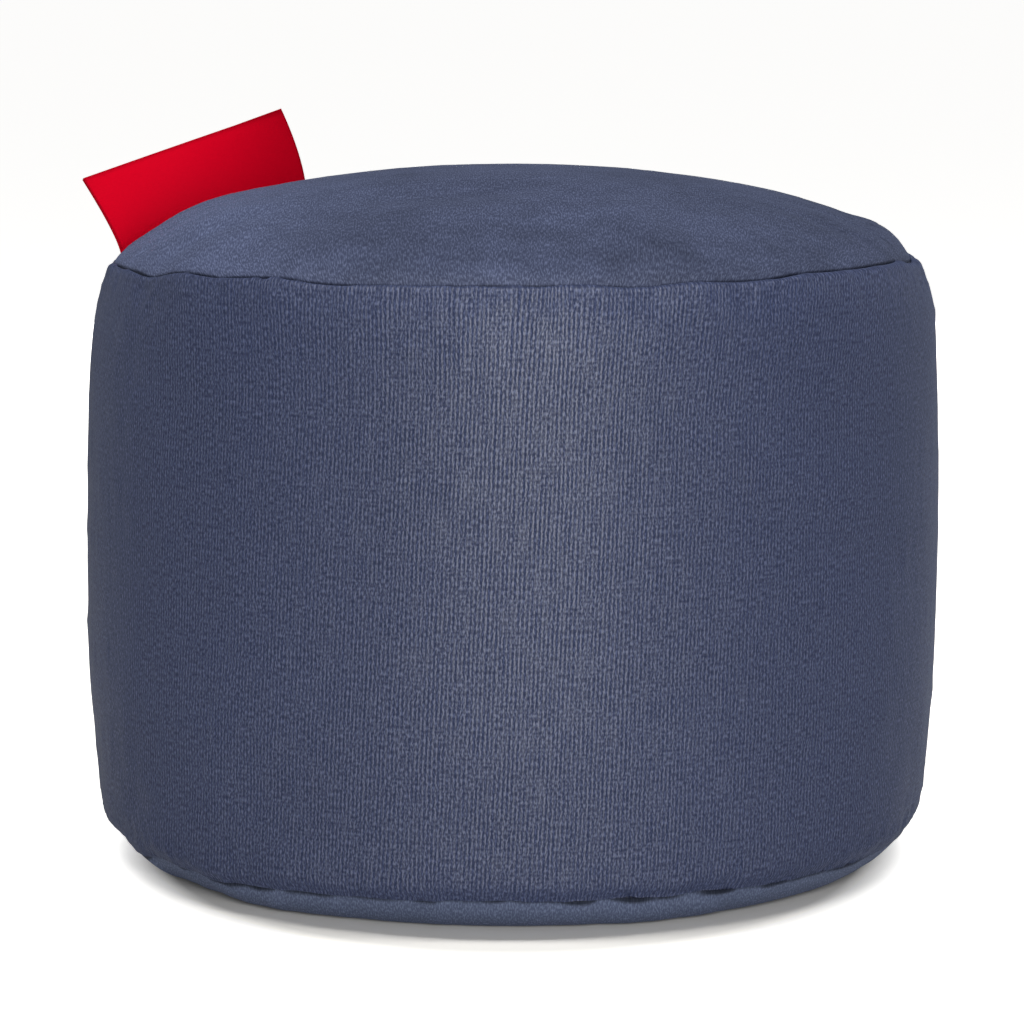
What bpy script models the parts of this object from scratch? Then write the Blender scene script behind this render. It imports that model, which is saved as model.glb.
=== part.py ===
"""Bean bag footstool: a drum of woven cloth filled with beads, with a bare label in its top seam.

Metres, +Z up. The origin is on the floor under the middle, and the front faces -Y.
Angles run around +Z from +X, so 270 degrees is the front.
"""

import math
from collections import namedtuple

import bmesh
import bpy
import numpy as np

# Driving dimensions
TOP_SEAM_RADIUS = 0.2322
TOP_SEAM_HEIGHT = 0.3550
CROWN_HEIGHT = 0.4034
BASE_SEAM_RADIUS = 0.2337
BASE_SEAM_HEIGHT = 0.0200
FOOT_RADIUS = 0.2060
CLOTH = 0.0025
GAP = 0.0003
LABEL_THICKNESS = 0.0015

# The dome of the top panel is flat in its middle and steep at its rim.
DOME_SPREAD = 2.19
DOME_SHOULDER = 0.716

# The base panel leaves the floor softly and climbs to the bottom seam.
BASE_CLIMB = 1.3

# How far the unevenness of a seam reaches into the side band, and the power that keeps it near the dome's rim
TOP_SEAM_REACH = 0.075
BASE_SEAM_REACH = 0.070
DOME_RIM_POWER = 14

# The band's folds fade out over this height at each seam, and a corner sharper than this stays an edge.
FOLD_FADE = 0.010
SHARP_DEGREES = 50

SEGMENTS = 90
DOME_RINGS = (0.14, 0.28, 0.42, 0.56, 0.68, 0.79, 0.88, 0.94, 0.98, 1.0)
BASE_RINGS = (0.0, 0.16, 0.42, 0.7, 1.0)
WALL_ROWS = 20

# The upright section of the side band, at the left and the right end of the drum
Section = namedtuple("Section", "height left right")
SECTIONS = (
    Section(height=0.0215, left=0.2370, right=0.2358),
    Section(height=0.0260, left=0.2410, right=0.2396),
    Section(height=0.0360, left=0.2436, right=0.2426),
    Section(height=0.0540, left=0.2450, right=0.2452),
    Section(height=0.0820, left=0.2474, right=0.2476),
    Section(height=0.1060, left=0.2494, right=0.2490),
    Section(height=0.1500, left=0.2499, right=0.2500),
    Section(height=0.2000, left=0.2496, right=0.2505),
    Section(height=0.2450, left=0.2488, right=0.2500),
    Section(height=0.2900, left=0.2469, right=0.2485),
    Section(height=0.3180, left=0.2444, right=0.2473),
    Section(height=0.3330, left=0.2418, right=0.2453),
    Section(height=0.3430, left=0.2394, right=0.2426),
    Section(height=0.3500, left=0.2368, right=0.2396),
)

# How far each seam rises or dips around the drum
SeamPoint = namedtuple("SeamPoint", "angle lift")
TOP_SEAM_LINE = (
    SeamPoint(angle=0, lift=-0.0040),
    SeamPoint(angle=22, lift=-0.0010),
    SeamPoint(angle=48, lift=0.0012),
    SeamPoint(angle=76, lift=-0.0008),
    SeamPoint(angle=102, lift=0.0014),
    SeamPoint(angle=124, lift=0.0016),
    SeamPoint(angle=150, lift=-0.0012),
    SeamPoint(angle=172, lift=-0.0060),
    SeamPoint(angle=184, lift=-0.0064),
    SeamPoint(angle=200, lift=-0.0030),
    SeamPoint(angle=210, lift=-0.0044),
    SeamPoint(angle=217, lift=0.0004),
    SeamPoint(angle=226, lift=0.0006),
    SeamPoint(angle=236, lift=0.0028),
    SeamPoint(angle=249, lift=0.0004),
    SeamPoint(angle=260, lift=-0.0005),
    SeamPoint(angle=285, lift=0.0000),
    SeamPoint(angle=307, lift=0.0008),
    SeamPoint(angle=318, lift=0.0021),
    SeamPoint(angle=336, lift=0.0019),
    SeamPoint(angle=346, lift=-0.0014),
)
BASE_SEAM_LINE = (
    SeamPoint(angle=0, lift=0.0000),
    SeamPoint(angle=30, lift=0.0014),
    SeamPoint(angle=62, lift=-0.0010),
    SeamPoint(angle=95, lift=0.0012),
    SeamPoint(angle=130, lift=-0.0014),
    SeamPoint(angle=160, lift=0.0008),
    SeamPoint(angle=182, lift=0.0000),
    SeamPoint(angle=204, lift=-0.0015),
    SeamPoint(angle=224, lift=-0.0034),
    SeamPoint(angle=240, lift=-0.0019),
    SeamPoint(angle=256, lift=-0.0006),
    SeamPoint(angle=272, lift=0.0013),
    SeamPoint(angle=298, lift=0.0020),
    SeamPoint(angle=325, lift=0.0026),
    SeamPoint(angle=340, lift=0.0000),
)

# Soft folds. `at` is the height on the side band and the radius on the top panel. `turn` is the angle of
# the fold's run: 0 is level around the drum, 90 is upright or towards the middle. Depth is into the filling.
Fold = namedtuple("Fold", "panel angle at turn length width depth")
FOLDS = (
    Fold(panel="side", angle=322, at=0.200, turn=-20, length=0.190, width=0.012, depth=0.0016),
    Fold(panel="side", angle=326, at=0.225, turn=-20, length=0.170, width=0.016, depth=-0.0010),
    Fold(panel="side", angle=206, at=0.034, turn=38, length=0.060, width=0.011, depth=0.0042),
    Fold(panel="side", angle=197, at=0.060, turn=62, length=0.080, width=0.016, depth=-0.0014),
    Fold(panel="side", angle=211, at=0.330, turn=80, length=0.070, width=0.012, depth=0.0026),
    Fold(panel="side", angle=270, at=0.338, turn=88, length=0.050, width=0.009, depth=0.0014),
    Fold(panel="side", angle=264, at=0.332, turn=84, length=0.050, width=0.012, depth=-0.0010),
    Fold(panel="side", angle=277, at=0.334, turn=92, length=0.050, width=0.012, depth=-0.0008),
    Fold(panel="side", angle=232, at=0.050, turn=84, length=0.080, width=0.013, depth=0.0018),
    Fold(panel="side", angle=246, at=0.044, turn=92, length=0.060, width=0.012, depth=0.0014),
    Fold(panel="side", angle=340, at=0.060, turn=100, length=0.090, width=0.014, depth=0.0018),
    Fold(panel="side", angle=34, at=0.190, turn=14, length=0.210, width=0.014, depth=0.0016),
    Fold(panel="side", angle=82, at=0.320, turn=86, length=0.080, width=0.013, depth=0.0020),
    Fold(panel="side", angle=112, at=0.054, turn=96, length=0.080, width=0.013, depth=0.0018),
    Fold(panel="side", angle=148, at=0.150, turn=-24, length=0.180, width=0.014, depth=0.0014),
    Fold(panel="top", angle=10, at=0.213, turn=0, length=0.300, width=0.011, depth=-0.0040),
    Fold(panel="top", angle=186, at=0.182, turn=0, length=0.160, width=0.016, depth=-0.0038),
    Fold(panel="top", angle=182, at=0.216, turn=0, length=0.150, width=0.010, depth=0.0030),
    Fold(panel="top", angle=282, at=0.155, turn=64, length=0.120, width=0.016, depth=0.0026),
    Fold(panel="top", angle=294, at=0.170, turn=80, length=0.100, width=0.013, depth=-0.0016),
    Fold(panel="top", angle=312, at=0.150, turn=40, length=0.130, width=0.014, depth=0.0018),
    Fold(panel="top", angle=246, at=0.110, turn=24, length=0.120, width=0.018, depth=0.0022),
    Fold(panel="top", angle=222, at=0.165, turn=-12, length=0.100, width=0.018, depth=0.0016),
    Fold(panel="top", angle=205, at=0.185, turn=70, length=0.080, width=0.013, depth=-0.0014),
    Fold(panel="top", angle=60, at=0.150, turn=-30, length=0.130, width=0.017, depth=0.0020),
    Fold(panel="top", angle=150, at=0.140, turn=50, length=0.120, width=0.017, depth=0.0018),
)

# The label's bottom edge follows the top seam. Its left end leans outwards and its right end stands up.
LABEL_ANGLES = (172, 124)
LABEL_TOP_LEFT = (-0.2585, 0.0800, 0.3908)
LABEL_TOP_RIGHT = (-0.1436, 0.1750, 0.4277)
LABEL_TOP_BULGE = (-0.0014, 0.0190, -0.0012)
LABEL_LEFT_RISE = (0.0, 0.0, 0.0100)
LABEL_RIGHT_RISE = (0.0062, -0.0016, 0.0267)
LABEL_ROWS = (0.0, 0.1, 0.25, 0.45, 0.72, 1.0)

# The groove of a seam: how far its two edges lie outside and below the panel's rim
GROOVE_WIDTH = 0.0021
GROOVE_DEPTH = 0.0023
GROOVE_FOOT = 0.0002
GROOVE_LIP = 0.0003

Finish = namedtuple("Finish", "name colour roughness")
CLOTH_FINISH = Finish(name="woven_cloth", colour=(0.084, 0.096, 0.152), roughness=0.9)
PANEL_FINISH = Finish(name="panel_cloth", colour=(0.090, 0.105, 0.158), roughness=0.9)
LABEL_FINISH = Finish(name="label_cloth", colour=(0.68, 0.003, 0.018), roughness=0.6)


def clear_scene():
    for thing in list(bpy.data.objects):
        bpy.data.objects.remove(thing)


def make_material(finish):
    material = bpy.data.materials.new(finish.name)
    material.use_nodes = True
    shader = material.node_tree.nodes["Principled BSDF"]
    shader.inputs["Base Color"].default_value = (*finish.colour, 1.0)
    shader.inputs["Roughness"].default_value = finish.roughness
    shader.inputs["Metallic"].default_value = 0.0
    return material


def smooth_step(value):
    value = np.clip(value, 0.0, 1.0)
    return value * value * (3.0 - 2.0 * value)


def smooth_curve(at, places, values):
    """A curve through the given values, with no overshoot at the ends of the table."""
    places = np.asarray(places, float)
    values = np.asarray(values, float)
    slopes = np.gradient(values, places)
    index = np.clip(np.searchsorted(places, at, side="right") - 1, 0, len(places) - 2)
    span = places[index + 1] - places[index]
    part = np.clip((at - places[index]) / span, 0.0, 1.0)
    rise = values[index + 1] - values[index]
    start = slopes[index] * span
    end = slopes[index + 1] * span
    bend = part * (1.0 - part) * ((1.0 - part) * (start - rise) - part * (end - rise))
    return values[index] + part * rise + bend


def around(at, points):
    """A seam's lift at each angle in degrees, closed around the drum."""
    angles = [point.angle for point in points]
    lifts = [point.lift for point in points]
    angles = [angles[-1] - 360] + angles + [360, angles[1] + 360]
    lifts = [lifts[-1]] + lifts + [lifts[0], lifts[1]]
    return smooth_curve(np.mod(at, 360.0), angles, lifts)


def fold_depth(panel, angle, at, radius):
    """How far the folds of a panel push its surface into the filling."""
    depth = np.zeros(np.shape(angle))
    for fold in FOLDS:
        if fold.panel != panel:
            continue
        turn = math.radians(fold.turn)
        side = np.radians(np.mod(angle - fold.angle + 180.0, 360.0) - 180.0) * radius
        rise = (at - fold.at) * (-1.0 if panel == "top" else 1.0)
        along = side * math.cos(turn) + rise * math.sin(turn)
        across = rise * math.cos(turn) - side * math.sin(turn)
        ends = np.exp(-((2.0 * along / fold.length) ** 4))
        depth = depth + fold.depth * ends * np.exp(-0.5 * (across / fold.width) ** 2)
    return depth


ANGLES = np.arange(SEGMENTS) * 360.0 / SEGMENTS


def ring(radius, height, angles=ANGLES):
    """Points around the drum, one for each angle."""
    turn = np.radians(angles)
    radius = np.broadcast_to(radius, turn.shape)
    height = np.broadcast_to(height, turn.shape)
    return np.stack([radius * np.cos(turn), radius * np.sin(turn), height], axis=-1)


def top_rings():
    """The outer face of the top panel, from its middle to the top seam."""
    lift = around(ANGLES, TOP_SEAM_LINE)
    rings = []
    for share in DOME_RINGS:
        radius = share * TOP_SEAM_RADIUS
        dome = (1.0 - share**DOME_SPREAD) ** DOME_SHOULDER
        height = TOP_SEAM_HEIGHT + (CROWN_HEIGHT - TOP_SEAM_HEIGHT) * dome
        height = height + lift * share**DOME_RIM_POWER
        height = height - fold_depth("top", ANGLES, radius, radius) * (1.0 - share**DOME_RIM_POWER)
        rings.append(ring(radius, height))
    return np.array(rings)


def base_rings():
    """The outer face of the base panel, from the rim of its flat foot to the bottom seam."""
    lift = around(ANGLES, BASE_SEAM_LINE)
    rings = []
    for share in BASE_RINGS:
        radius = FOOT_RADIUS + (BASE_SEAM_RADIUS - FOOT_RADIUS) * share
        rings.append(ring(radius, (BASE_SEAM_HEIGHT + lift) * share**BASE_CLIMB))
    return np.array(rings)


def wall_rings():
    """The side band, from its bottom lip to its top lip."""
    top_lift = around(ANGLES, TOP_SEAM_LINE)
    base_lift = around(ANGLES, BASE_SEAM_LINE)
    heights = [section.height for section in SECTIONS]
    rightness = 0.5 + 0.5 * np.cos(np.radians(ANGLES))
    low, high = heights[0], heights[-1]
    rings = []
    for step in np.linspace(0.0, math.pi, WALL_ROWS):
        height = low + (high - low) * 0.5 * (1.0 - math.cos(step))
        left = smooth_curve(height, heights, [section.left for section in SECTIONS])
        right = smooth_curve(height, heights, [section.right for section in SECTIONS])
        radius = left + (right - left) * rightness
        fade = smooth_step((height - low) / FOLD_FADE) * smooth_step((high - height) / FOLD_FADE)
        radius = radius - fold_depth("side", ANGLES, height, radius) * fade
        lift = top_lift * smooth_step(1.0 - (high - height) / TOP_SEAM_REACH)
        lift = lift + base_lift * smooth_step(1.0 - (height - low) / BASE_SEAM_REACH)
        rings.append(ring(radius, height + lift))
    return np.array(rings)


def inner_face(rings, depth, upward):
    """A panel's rings moved into the filling. `upward` is 1 on the top panel and -1 on the base."""
    along = np.gradient(rings, axis=0)
    sideways = np.roll(rings, -1, axis=1) - np.roll(rings, 1, axis=1)
    normals = np.cross(along, sideways)
    normals = normals / np.linalg.norm(normals, axis=-1, keepdims=True)
    return rings - normals * depth * upward


def new_object(name, mesh_data, material):
    bmesh.ops.recalc_face_normals(mesh_data, faces=mesh_data.faces)
    mesh = bpy.data.meshes.new(name)
    mesh_data.to_mesh(mesh)
    mesh_data.free()
    mesh.shade_smooth()
    mesh.set_sharp_from_angle(angle=math.radians(SHARP_DEGREES))
    mesh.materials.append(material)
    thing = bpy.data.objects.new(name, mesh)
    bpy.context.scene.collection.objects.link(thing)
    return thing


def add_points(mesh, points):
    return [mesh.verts.new(point) for point in points]


def join_rings(mesh, first, second):
    """Two triangles for each segment, with the same diagonal on every layer."""
    for here in range(SEGMENTS):
        after = (here + 1) % SEGMENTS
        mesh.faces.new((first[here], second[here], second[after]))
        mesh.faces.new((first[here], second[after], first[after]))


def close_ring(mesh, points, height):
    middle = mesh.verts.new((0.0, 0.0, height))
    for here in range(SEGMENTS):
        mesh.faces.new((middle, points[here], points[(here + 1) % SEGMENTS]))


def add_layer(mesh, rings, middle_height):
    """A face of a panel, closed in its middle. It gives back the points of its rim."""
    rows = [add_points(mesh, points) for points in rings]
    close_ring(mesh, rows[0], middle_height)
    for first, second in zip(rows, rows[1:]):
        join_rings(mesh, first, second)
    return rows[-1]


def make_panel(name, outer, middle_height, upward, material):
    """A round sheet of cloth. `upward` is 1 on the top panel and -1 on the base."""
    inner = inner_face(outer, CLOTH, upward)
    mesh = bmesh.new()
    outer_rim = add_layer(mesh, outer, middle_height)
    inner_rim = add_layer(mesh, inner, middle_height - upward * CLOTH)
    join_rings(mesh, outer_rim, inner_rim)
    return new_object(name, mesh, material)


def groove(rim, upward):
    """The two edges of a seam's groove in the band, from under the panel's rim out to the lip."""
    turn = np.radians(ANGLES)
    outward = np.stack([np.cos(turn), np.sin(turn), np.zeros(SEGMENTS)], axis=-1)
    down = np.array([0.0, 0.0, -upward])
    foot = rim - outward * GROOVE_FOOT + down * (GROOVE_DEPTH + GAP)
    floor = rim + outward * (GROOVE_WIDTH - GROOVE_LIP) + down * (GROOVE_DEPTH - GAP)
    crest = rim + outward * (GROOVE_WIDTH + GROOVE_LIP) - down * GROOVE_LIP
    return foot, floor, crest


def make_drum(material):
    """The filled body: the side band outside, and its bed under the top and base panels."""
    top = top_rings()
    base = base_rings()
    top_bed = inner_face(top, CLOTH + GAP, 1.0)
    base_bed = inner_face(base, CLOTH + GAP, -1.0)
    mesh = bmesh.new()
    base_rim = add_layer(mesh, base_bed, CLOTH + GAP)
    base_foot, base_floor, base_crest = groove(base[-1], -1.0)
    top_foot, top_floor, top_crest = groove(top[-1], 1.0)
    wall = [base_foot, base_floor, base_crest, *wall_rings(), top_crest, top_floor, top_foot]
    rows = [add_points(mesh, points) for points in wall]
    top_rim = add_layer(mesh, top_bed, CROWN_HEIGHT - CLOTH - GAP)
    for first, second in zip([base_rim, *rows], [*rows, top_rim]):
        join_rings(mesh, first, second)
    return new_object("side_band", mesh, material)


def label_middle():
    """The label's middle surface: rows from the seam up, each from its left to its right end."""
    pitch = 360.0 / SEGMENTS
    angles = np.arange(LABEL_ANGLES[0], LABEL_ANGLES[1] - 0.5 * pitch, -pitch)
    lift = around(angles, TOP_SEAM_LINE)
    foot = ring(
        TOP_SEAM_RADIUS + 0.5 * GROOVE_WIDTH,
        TOP_SEAM_HEIGHT + lift - GROOVE_DEPTH + 2.0 * GAP,
        angles,
    )
    share = np.linspace(0.0, 1.0, len(angles))[:, None]
    left, right = np.array(LABEL_TOP_LEFT), np.array(LABEL_TOP_RIGHT)
    top = left + (right - left) * share + np.array(LABEL_TOP_BULGE) * 4.0 * share * (1.0 - share)
    left_rise, right_rise = np.array(LABEL_LEFT_RISE), np.array(LABEL_RIGHT_RISE)
    control = foot + left_rise + (right_rise - left_rise) * share
    rows = []
    for up in LABEL_ROWS:
        rows.append((1.0 - up) ** 2 * foot + 2.0 * up * (1.0 - up) * control + up**2 * top)
    return np.array(rows)


def make_label(material):
    middle = label_middle()
    normals = np.cross(np.gradient(middle, axis=1), np.gradient(middle, axis=0))
    normals = normals / np.linalg.norm(normals, axis=-1, keepdims=True)
    # The foot stands upright in the seam, so that it clears both sides of the groove.
    normals[0, :, 2] = 0.0
    normals[0] = normals[0] / np.linalg.norm(normals[0], axis=-1, keepdims=True)
    mesh = bmesh.new()
    faces = []
    for side in (0.5, -0.5):
        points = middle + normals * LABEL_THICKNESS * side
        faces.append([add_points(mesh, row) for row in points])
    for grid in faces:
        for low, high in zip(grid, grid[1:]):
            for here in range(len(low) - 1):
                mesh.faces.new((low[here], low[here + 1], high[here + 1]))
                mesh.faces.new((low[here], high[here + 1], high[here]))
    front, back = faces
    edge = front[0] + [row[-1] for row in front[1:]] + front[-1][-2::-1]
    edge += [row[0] for row in front[-2:0:-1]]
    far = back[0] + [row[-1] for row in back[1:]] + back[-1][-2::-1]
    far += [row[0] for row in back[-2:0:-1]]
    for here in range(len(edge)):
        after = (here + 1) % len(edge)
        mesh.faces.new((edge[here], edge[after], far[after]))
        mesh.faces.new((edge[here], far[after], far[here]))
    return new_object("label", mesh, material)


def build():
    clear_scene()
    cloth = make_material(CLOTH_FINISH)
    panel = make_material(PANEL_FINISH)
    make_drum(cloth)
    make_panel("top_panel", top_rings(), CROWN_HEIGHT, 1.0, panel)
    make_panel("base_panel", base_rings(), 0.0, -1.0, panel)
    make_label(make_material(LABEL_FINISH))


build()
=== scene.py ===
"""Looks of a round bean-filled footstool: its woven cloth, sewn seams and bare label.

The file is laid out as an add-on and is run as a script. Lengths are metres, +Z is up and the front
faces -Y. Angles run around +Z from +X, so 270 degrees is the front and 180 the left.
"""

import math
from collections import namedtuple
from functools import lru_cache

import bpy
import numpy as np
from bpy.props import FloatProperty, FloatVectorProperty, IntProperty, PointerProperty
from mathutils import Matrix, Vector


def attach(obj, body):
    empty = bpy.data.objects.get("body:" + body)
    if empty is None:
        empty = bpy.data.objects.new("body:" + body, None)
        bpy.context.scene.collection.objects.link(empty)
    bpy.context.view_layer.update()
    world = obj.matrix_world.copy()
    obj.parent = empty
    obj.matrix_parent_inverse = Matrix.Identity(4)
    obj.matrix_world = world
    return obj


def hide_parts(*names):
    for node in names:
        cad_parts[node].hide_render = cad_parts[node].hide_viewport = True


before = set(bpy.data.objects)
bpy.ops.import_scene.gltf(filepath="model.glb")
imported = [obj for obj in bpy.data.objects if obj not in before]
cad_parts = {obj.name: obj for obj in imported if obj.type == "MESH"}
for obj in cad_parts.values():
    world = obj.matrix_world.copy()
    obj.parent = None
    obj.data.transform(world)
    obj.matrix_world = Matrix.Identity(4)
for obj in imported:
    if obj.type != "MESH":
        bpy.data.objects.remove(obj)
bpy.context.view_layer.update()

bl_info = {
    "name": "Bean bag footstool",
    "version": (1, 0, 0),
    "blender": (4, 5, 0),
    "location": "View3D > Sidebar > Footstool",
    "description": "Dresses the packed solids of a round bean-filled footstool in woven cloth",
    "category": "Mesh",
}

TURN = 2.0 * math.pi
BODY = "root"

# Segments around the drum: the sewn cloth, and the coarser skin that is blown up
AROUND = 720
SKIN_AROUND = 360
FEWEST_AROUND = 45
# Rings of the flat middle of the base, each with at most twice as many points as the one before
MIDDLE_RADII = (0.013, 0.026, 0.052, 0.100, 0.150, 0.190)

# The drum's shape, as in the solids
TOP_SEAM_RADIUS = 0.2322
TOP_SEAM_HEIGHT = 0.3550
CROWN_HEIGHT = 0.4034
BASE_SEAM_RADIUS = 0.2337
BASE_SEAM_HEIGHT = 0.0200
FOOT_RADIUS = 0.2060
# The cloth's thickness, and the gap between two solids
CLOTH = 0.0025
GAP = 0.0003
# The dome's profile, the base panel's climb, and how far a seam's rise or dip reaches
DOME_SPREAD = 2.19
DOME_SHOULDER = 0.716
BASE_CLIMB = 1.3
TOP_SEAM_REACH = 0.075
BASE_SEAM_REACH = 0.070
DOME_RIM_POWER = 14
FOLD_FADE = 0.010

# The upright section of the side band, at the left and the right end of the drum
Section = namedtuple("Section", "height left right")
SECTIONS = (
    Section(0.0215, 0.2370, 0.2358),
    Section(0.0260, 0.2410, 0.2396),
    Section(0.0360, 0.2436, 0.2426),
    Section(0.0540, 0.2450, 0.2452),
    Section(0.0820, 0.2474, 0.2476),
    Section(0.1060, 0.2494, 0.2490),
    Section(0.1500, 0.2499, 0.2500),
    Section(0.2000, 0.2496, 0.2505),
    Section(0.2450, 0.2488, 0.2500),
    Section(0.2900, 0.2469, 0.2485),
    Section(0.3180, 0.2444, 0.2473),
    Section(0.3330, 0.2418, 0.2453),
    Section(0.3430, 0.2394, 0.2426),
    Section(0.3500, 0.2368, 0.2396),
)
SECTION_HEIGHTS = [section.height for section in SECTIONS]
WALL_LOW, WALL_HIGH = SECTION_HEIGHTS[0], SECTION_HEIGHTS[-1]

# How far each seam rises or dips around the drum, with its kinks: angle, lift
TOP_SEAM_LINE = (
    (0, -0.0040), (22, -0.0010), (34, 0.0009), (48, 0.0014), (61, -0.0002), (76, -0.0008),
    (88, 0.0009), (102, 0.0016), (113, 0.0004), (124, 0.0016), (150, -0.0012), (172, -0.0060),
    (180.3, -0.0068), (195.3, -0.0029), (200.3, -0.0031), (203.6, -0.0027), (206, -0.0032),
    (208.5, -0.0040), (210.2, -0.0044), (212.9, -0.0025), (214.6, -0.0010), (217, 0.0007),
    (219.2, 0.0013), (223.6, 0.0010), (226.5, 0.0003), (230.3, 0.0017), (234.1, 0.0025),
    (238.6, 0.0027), (241.6, 0.0013), (247, 0.0006), (250.5, 0.0009), (255.5, 0.0010),
    (260.5, 0.0012), (266.2, 0.0019), (273.6, 0.0016), (279.7, 0.0020), (282.6, 0.0011),
    (285.6, 0.0001), (288.5, -0.0002), (292.1, 0.0010), (296.4, 0.0018), (301, 0.0011),
    (305.7, 0.0010), (308, 0.0015), (311, 0.0027), (314.9, 0.0029), (322, 0.0024),
    (332.4, 0.0023), (337.2, 0.0019), (339.6, 0.0014), (342.6, -0.0002), (347.4, -0.0017),
)  # fmt: skip
BASE_SEAM_LINE = (
    (0, 0.0), (14, -0.0006), (30, 0.0012), (41, -0.0002), (62, -0.0010), (78, 0.0004),
    (95, 0.0012), (109, -0.0007), (130, -0.0014), (146, 0.0006), (160, 0.0008), (172, -0.0010),
    (182, 0.0), (200, -0.0004), (203.3, -0.0034), (207, -0.0036), (211.3, -0.0002),
    (215, -0.0012), (221.2, -0.0019), (223.9, -0.0036), (227.3, -0.0036), (230.2, -0.0020),
    (237.1, -0.0020), (239.4, -0.0008),
    (247.1, -0.0010), (248.7, -0.0002), (254.5, -0.0007), (258.3, -0.0001), (259.8, -0.0006),
    (261.5, 0.0006), (265.3, 0.0003), (266.7, 0.0008), (270.2, 0.0011), (273.4, -0.0005),
    (274.1, 0.0006), (277, -0.0002), (279.6, 0.0001), (284.4, 0.0007), (287.9, 0.0),
    (291.4, -0.0006), (294.7, 0.0004), (296.2, 0.0007), (299.8, -0.0002), (304.1, -0.0010),
    (309.2, -0.0009), (312.1, -0.0011), (314.9, -0.0005), (318.1, -0.0005), (322.1, -0.0012),
    (325.8, -0.0012), (330, -0.0005), (334.2, -0.0011), (346, 0.0006),
)  # fmt: skip

# Stretches where a seam gapes between its stitches: angle, half length in degrees, share
TOP_SEAM_GAPS = (
    (197.4, 4.2, 0.90), (206.1, 4.9, 1.00), (214.9, 5.1, 1.00), (223.4, 3.9, 0.90),
    (230.5, 3.7, 0.80), (234.9, 1.1, 1.00), (238.9, 1.5, 0.80), (244.7, 4.6, 0.80),
    (251.1, 1.1, 0.20), (262.9, 1.5, 0.40), (267.2, 2.2, 0.60), (273.6, 2.6, 0.50),
    (284.4, 2.7, 0.35), (301.4, 5.7, 0.70), (309.9, 3.7, 0.90), (318.2, 5.5, 0.80),
    (326.7, 6.0, 0.90), (333.8, 5.1, 1.00), (347.6, 6.6, 1.00), (6.0, 7.0, 0.80),
    (24.0, 6.0, 0.90), (41.0, 5.0, 0.60), (57.0, 6.0, 0.85), (76.0, 5.5, 0.70),
    (92.0, 5.0, 0.90), (107.0, 4.5, 0.60), (180.0, 6.0, 0.90),
)  # fmt: skip
BASE_SEAM_GAPS = (
    (205.2, 2.6, 1.00), (217.4, 1.8, 0.35), (228.1, 5.5, 0.80), (232.8, 3.1, 0.90),
    (241.3, 4.1, 0.75), (250.7, 3.0, 0.45), (258.1, 1.8, 0.60), (263.7, 1.4, 0.20),
    (267.6, 1.8, 0.60), (271.1, 1.3, 0.40), (275.1, 1.5, 0.35), (278.9, 2.7, 0.95),
    (286.6, 3.6, 1.00), (291.2, 2.5, 0.70), (299.1, 3.3, 1.00), (304.2, 1.6, 0.15),
    (308.8, 2.8, 0.80), (315.1, 4.8, 0.60), (325.1, 6.4, 0.70), (343.0, 5.0, 0.80),
    (358.0, 6.0, 0.60), (16.0, 5.0, 0.90), (33.0, 4.0, 0.50), (49.0, 6.0, 0.85),
    (66.0, 4.5, 0.60), (83.0, 5.5, 0.95), (101.0, 4.0, 0.55), (118.0, 6.0, 0.80),
    (137.0, 5.0, 0.70), (155.0, 4.5, 0.90), (172.0, 6.0, 0.60), (189.0, 4.0, 0.80),
)  # fmt: skip

# Where the base panel bulges twice as far: angle, reach in degrees
BASE_PUFFS = ((233, 16), (292, 16))

# Soft folds. `at` is the height on the side band and the radius on the top panel. `turn` is the angle of
# the fold's run: 0 is level around the drum, 90 is upright or towards the middle. Depth is into the filling.
Fold = namedtuple("Fold", "angle at turn length width depth")
FOLDS = {
    "side": (
        Fold(322, 0.200, -20, 0.190, 0.012, 0.0016), Fold(326, 0.225, -20, 0.170, 0.016, -0.0010),
        Fold(206, 0.040, 38, 0.060, 0.010, 0.0030), Fold(197, 0.060, 62, 0.080, 0.016, -0.0014),
        Fold(211, 0.330, 80, 0.070, 0.012, 0.0026), Fold(270, 0.338, 88, 0.050, 0.009, 0.0014),
        Fold(264, 0.332, 84, 0.050, 0.012, -0.0010), Fold(277, 0.334, 92, 0.050, 0.012, -0.0008),
        Fold(232, 0.050, 84, 0.080, 0.013, 0.0018), Fold(246, 0.044, 92, 0.060, 0.012, 0.0014),
        Fold(340, 0.060, 100, 0.090, 0.014, 0.0018), Fold(34, 0.190, 14, 0.210, 0.014, 0.0016),
        Fold(82, 0.320, 86, 0.080, 0.013, 0.0020), Fold(112, 0.054, 96, 0.080, 0.013, 0.0018),
        Fold(148, 0.150, -24, 0.180, 0.014, 0.0014),
    ),
    "top": (
        Fold(10, 0.226, 0, 0.280, 0.010, -0.0085), Fold(187, 0.178, 0, 0.160, 0.016, -0.0016),
        Fold(182, 0.216, 0, 0.150, 0.010, 0.0030), Fold(282, 0.155, 64, 0.120, 0.015, 0.0036),
        Fold(294, 0.170, 80, 0.100, 0.013, -0.0024), Fold(312, 0.150, 40, 0.130, 0.014, 0.0030),
        Fold(246, 0.110, 24, 0.120, 0.018, 0.0034), Fold(222, 0.165, -12, 0.100, 0.016, 0.0028),
        Fold(205, 0.185, 70, 0.080, 0.013, -0.0014), Fold(60, 0.150, -30, 0.130, 0.017, 0.0020),
    ),
}  # fmt: skip

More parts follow.
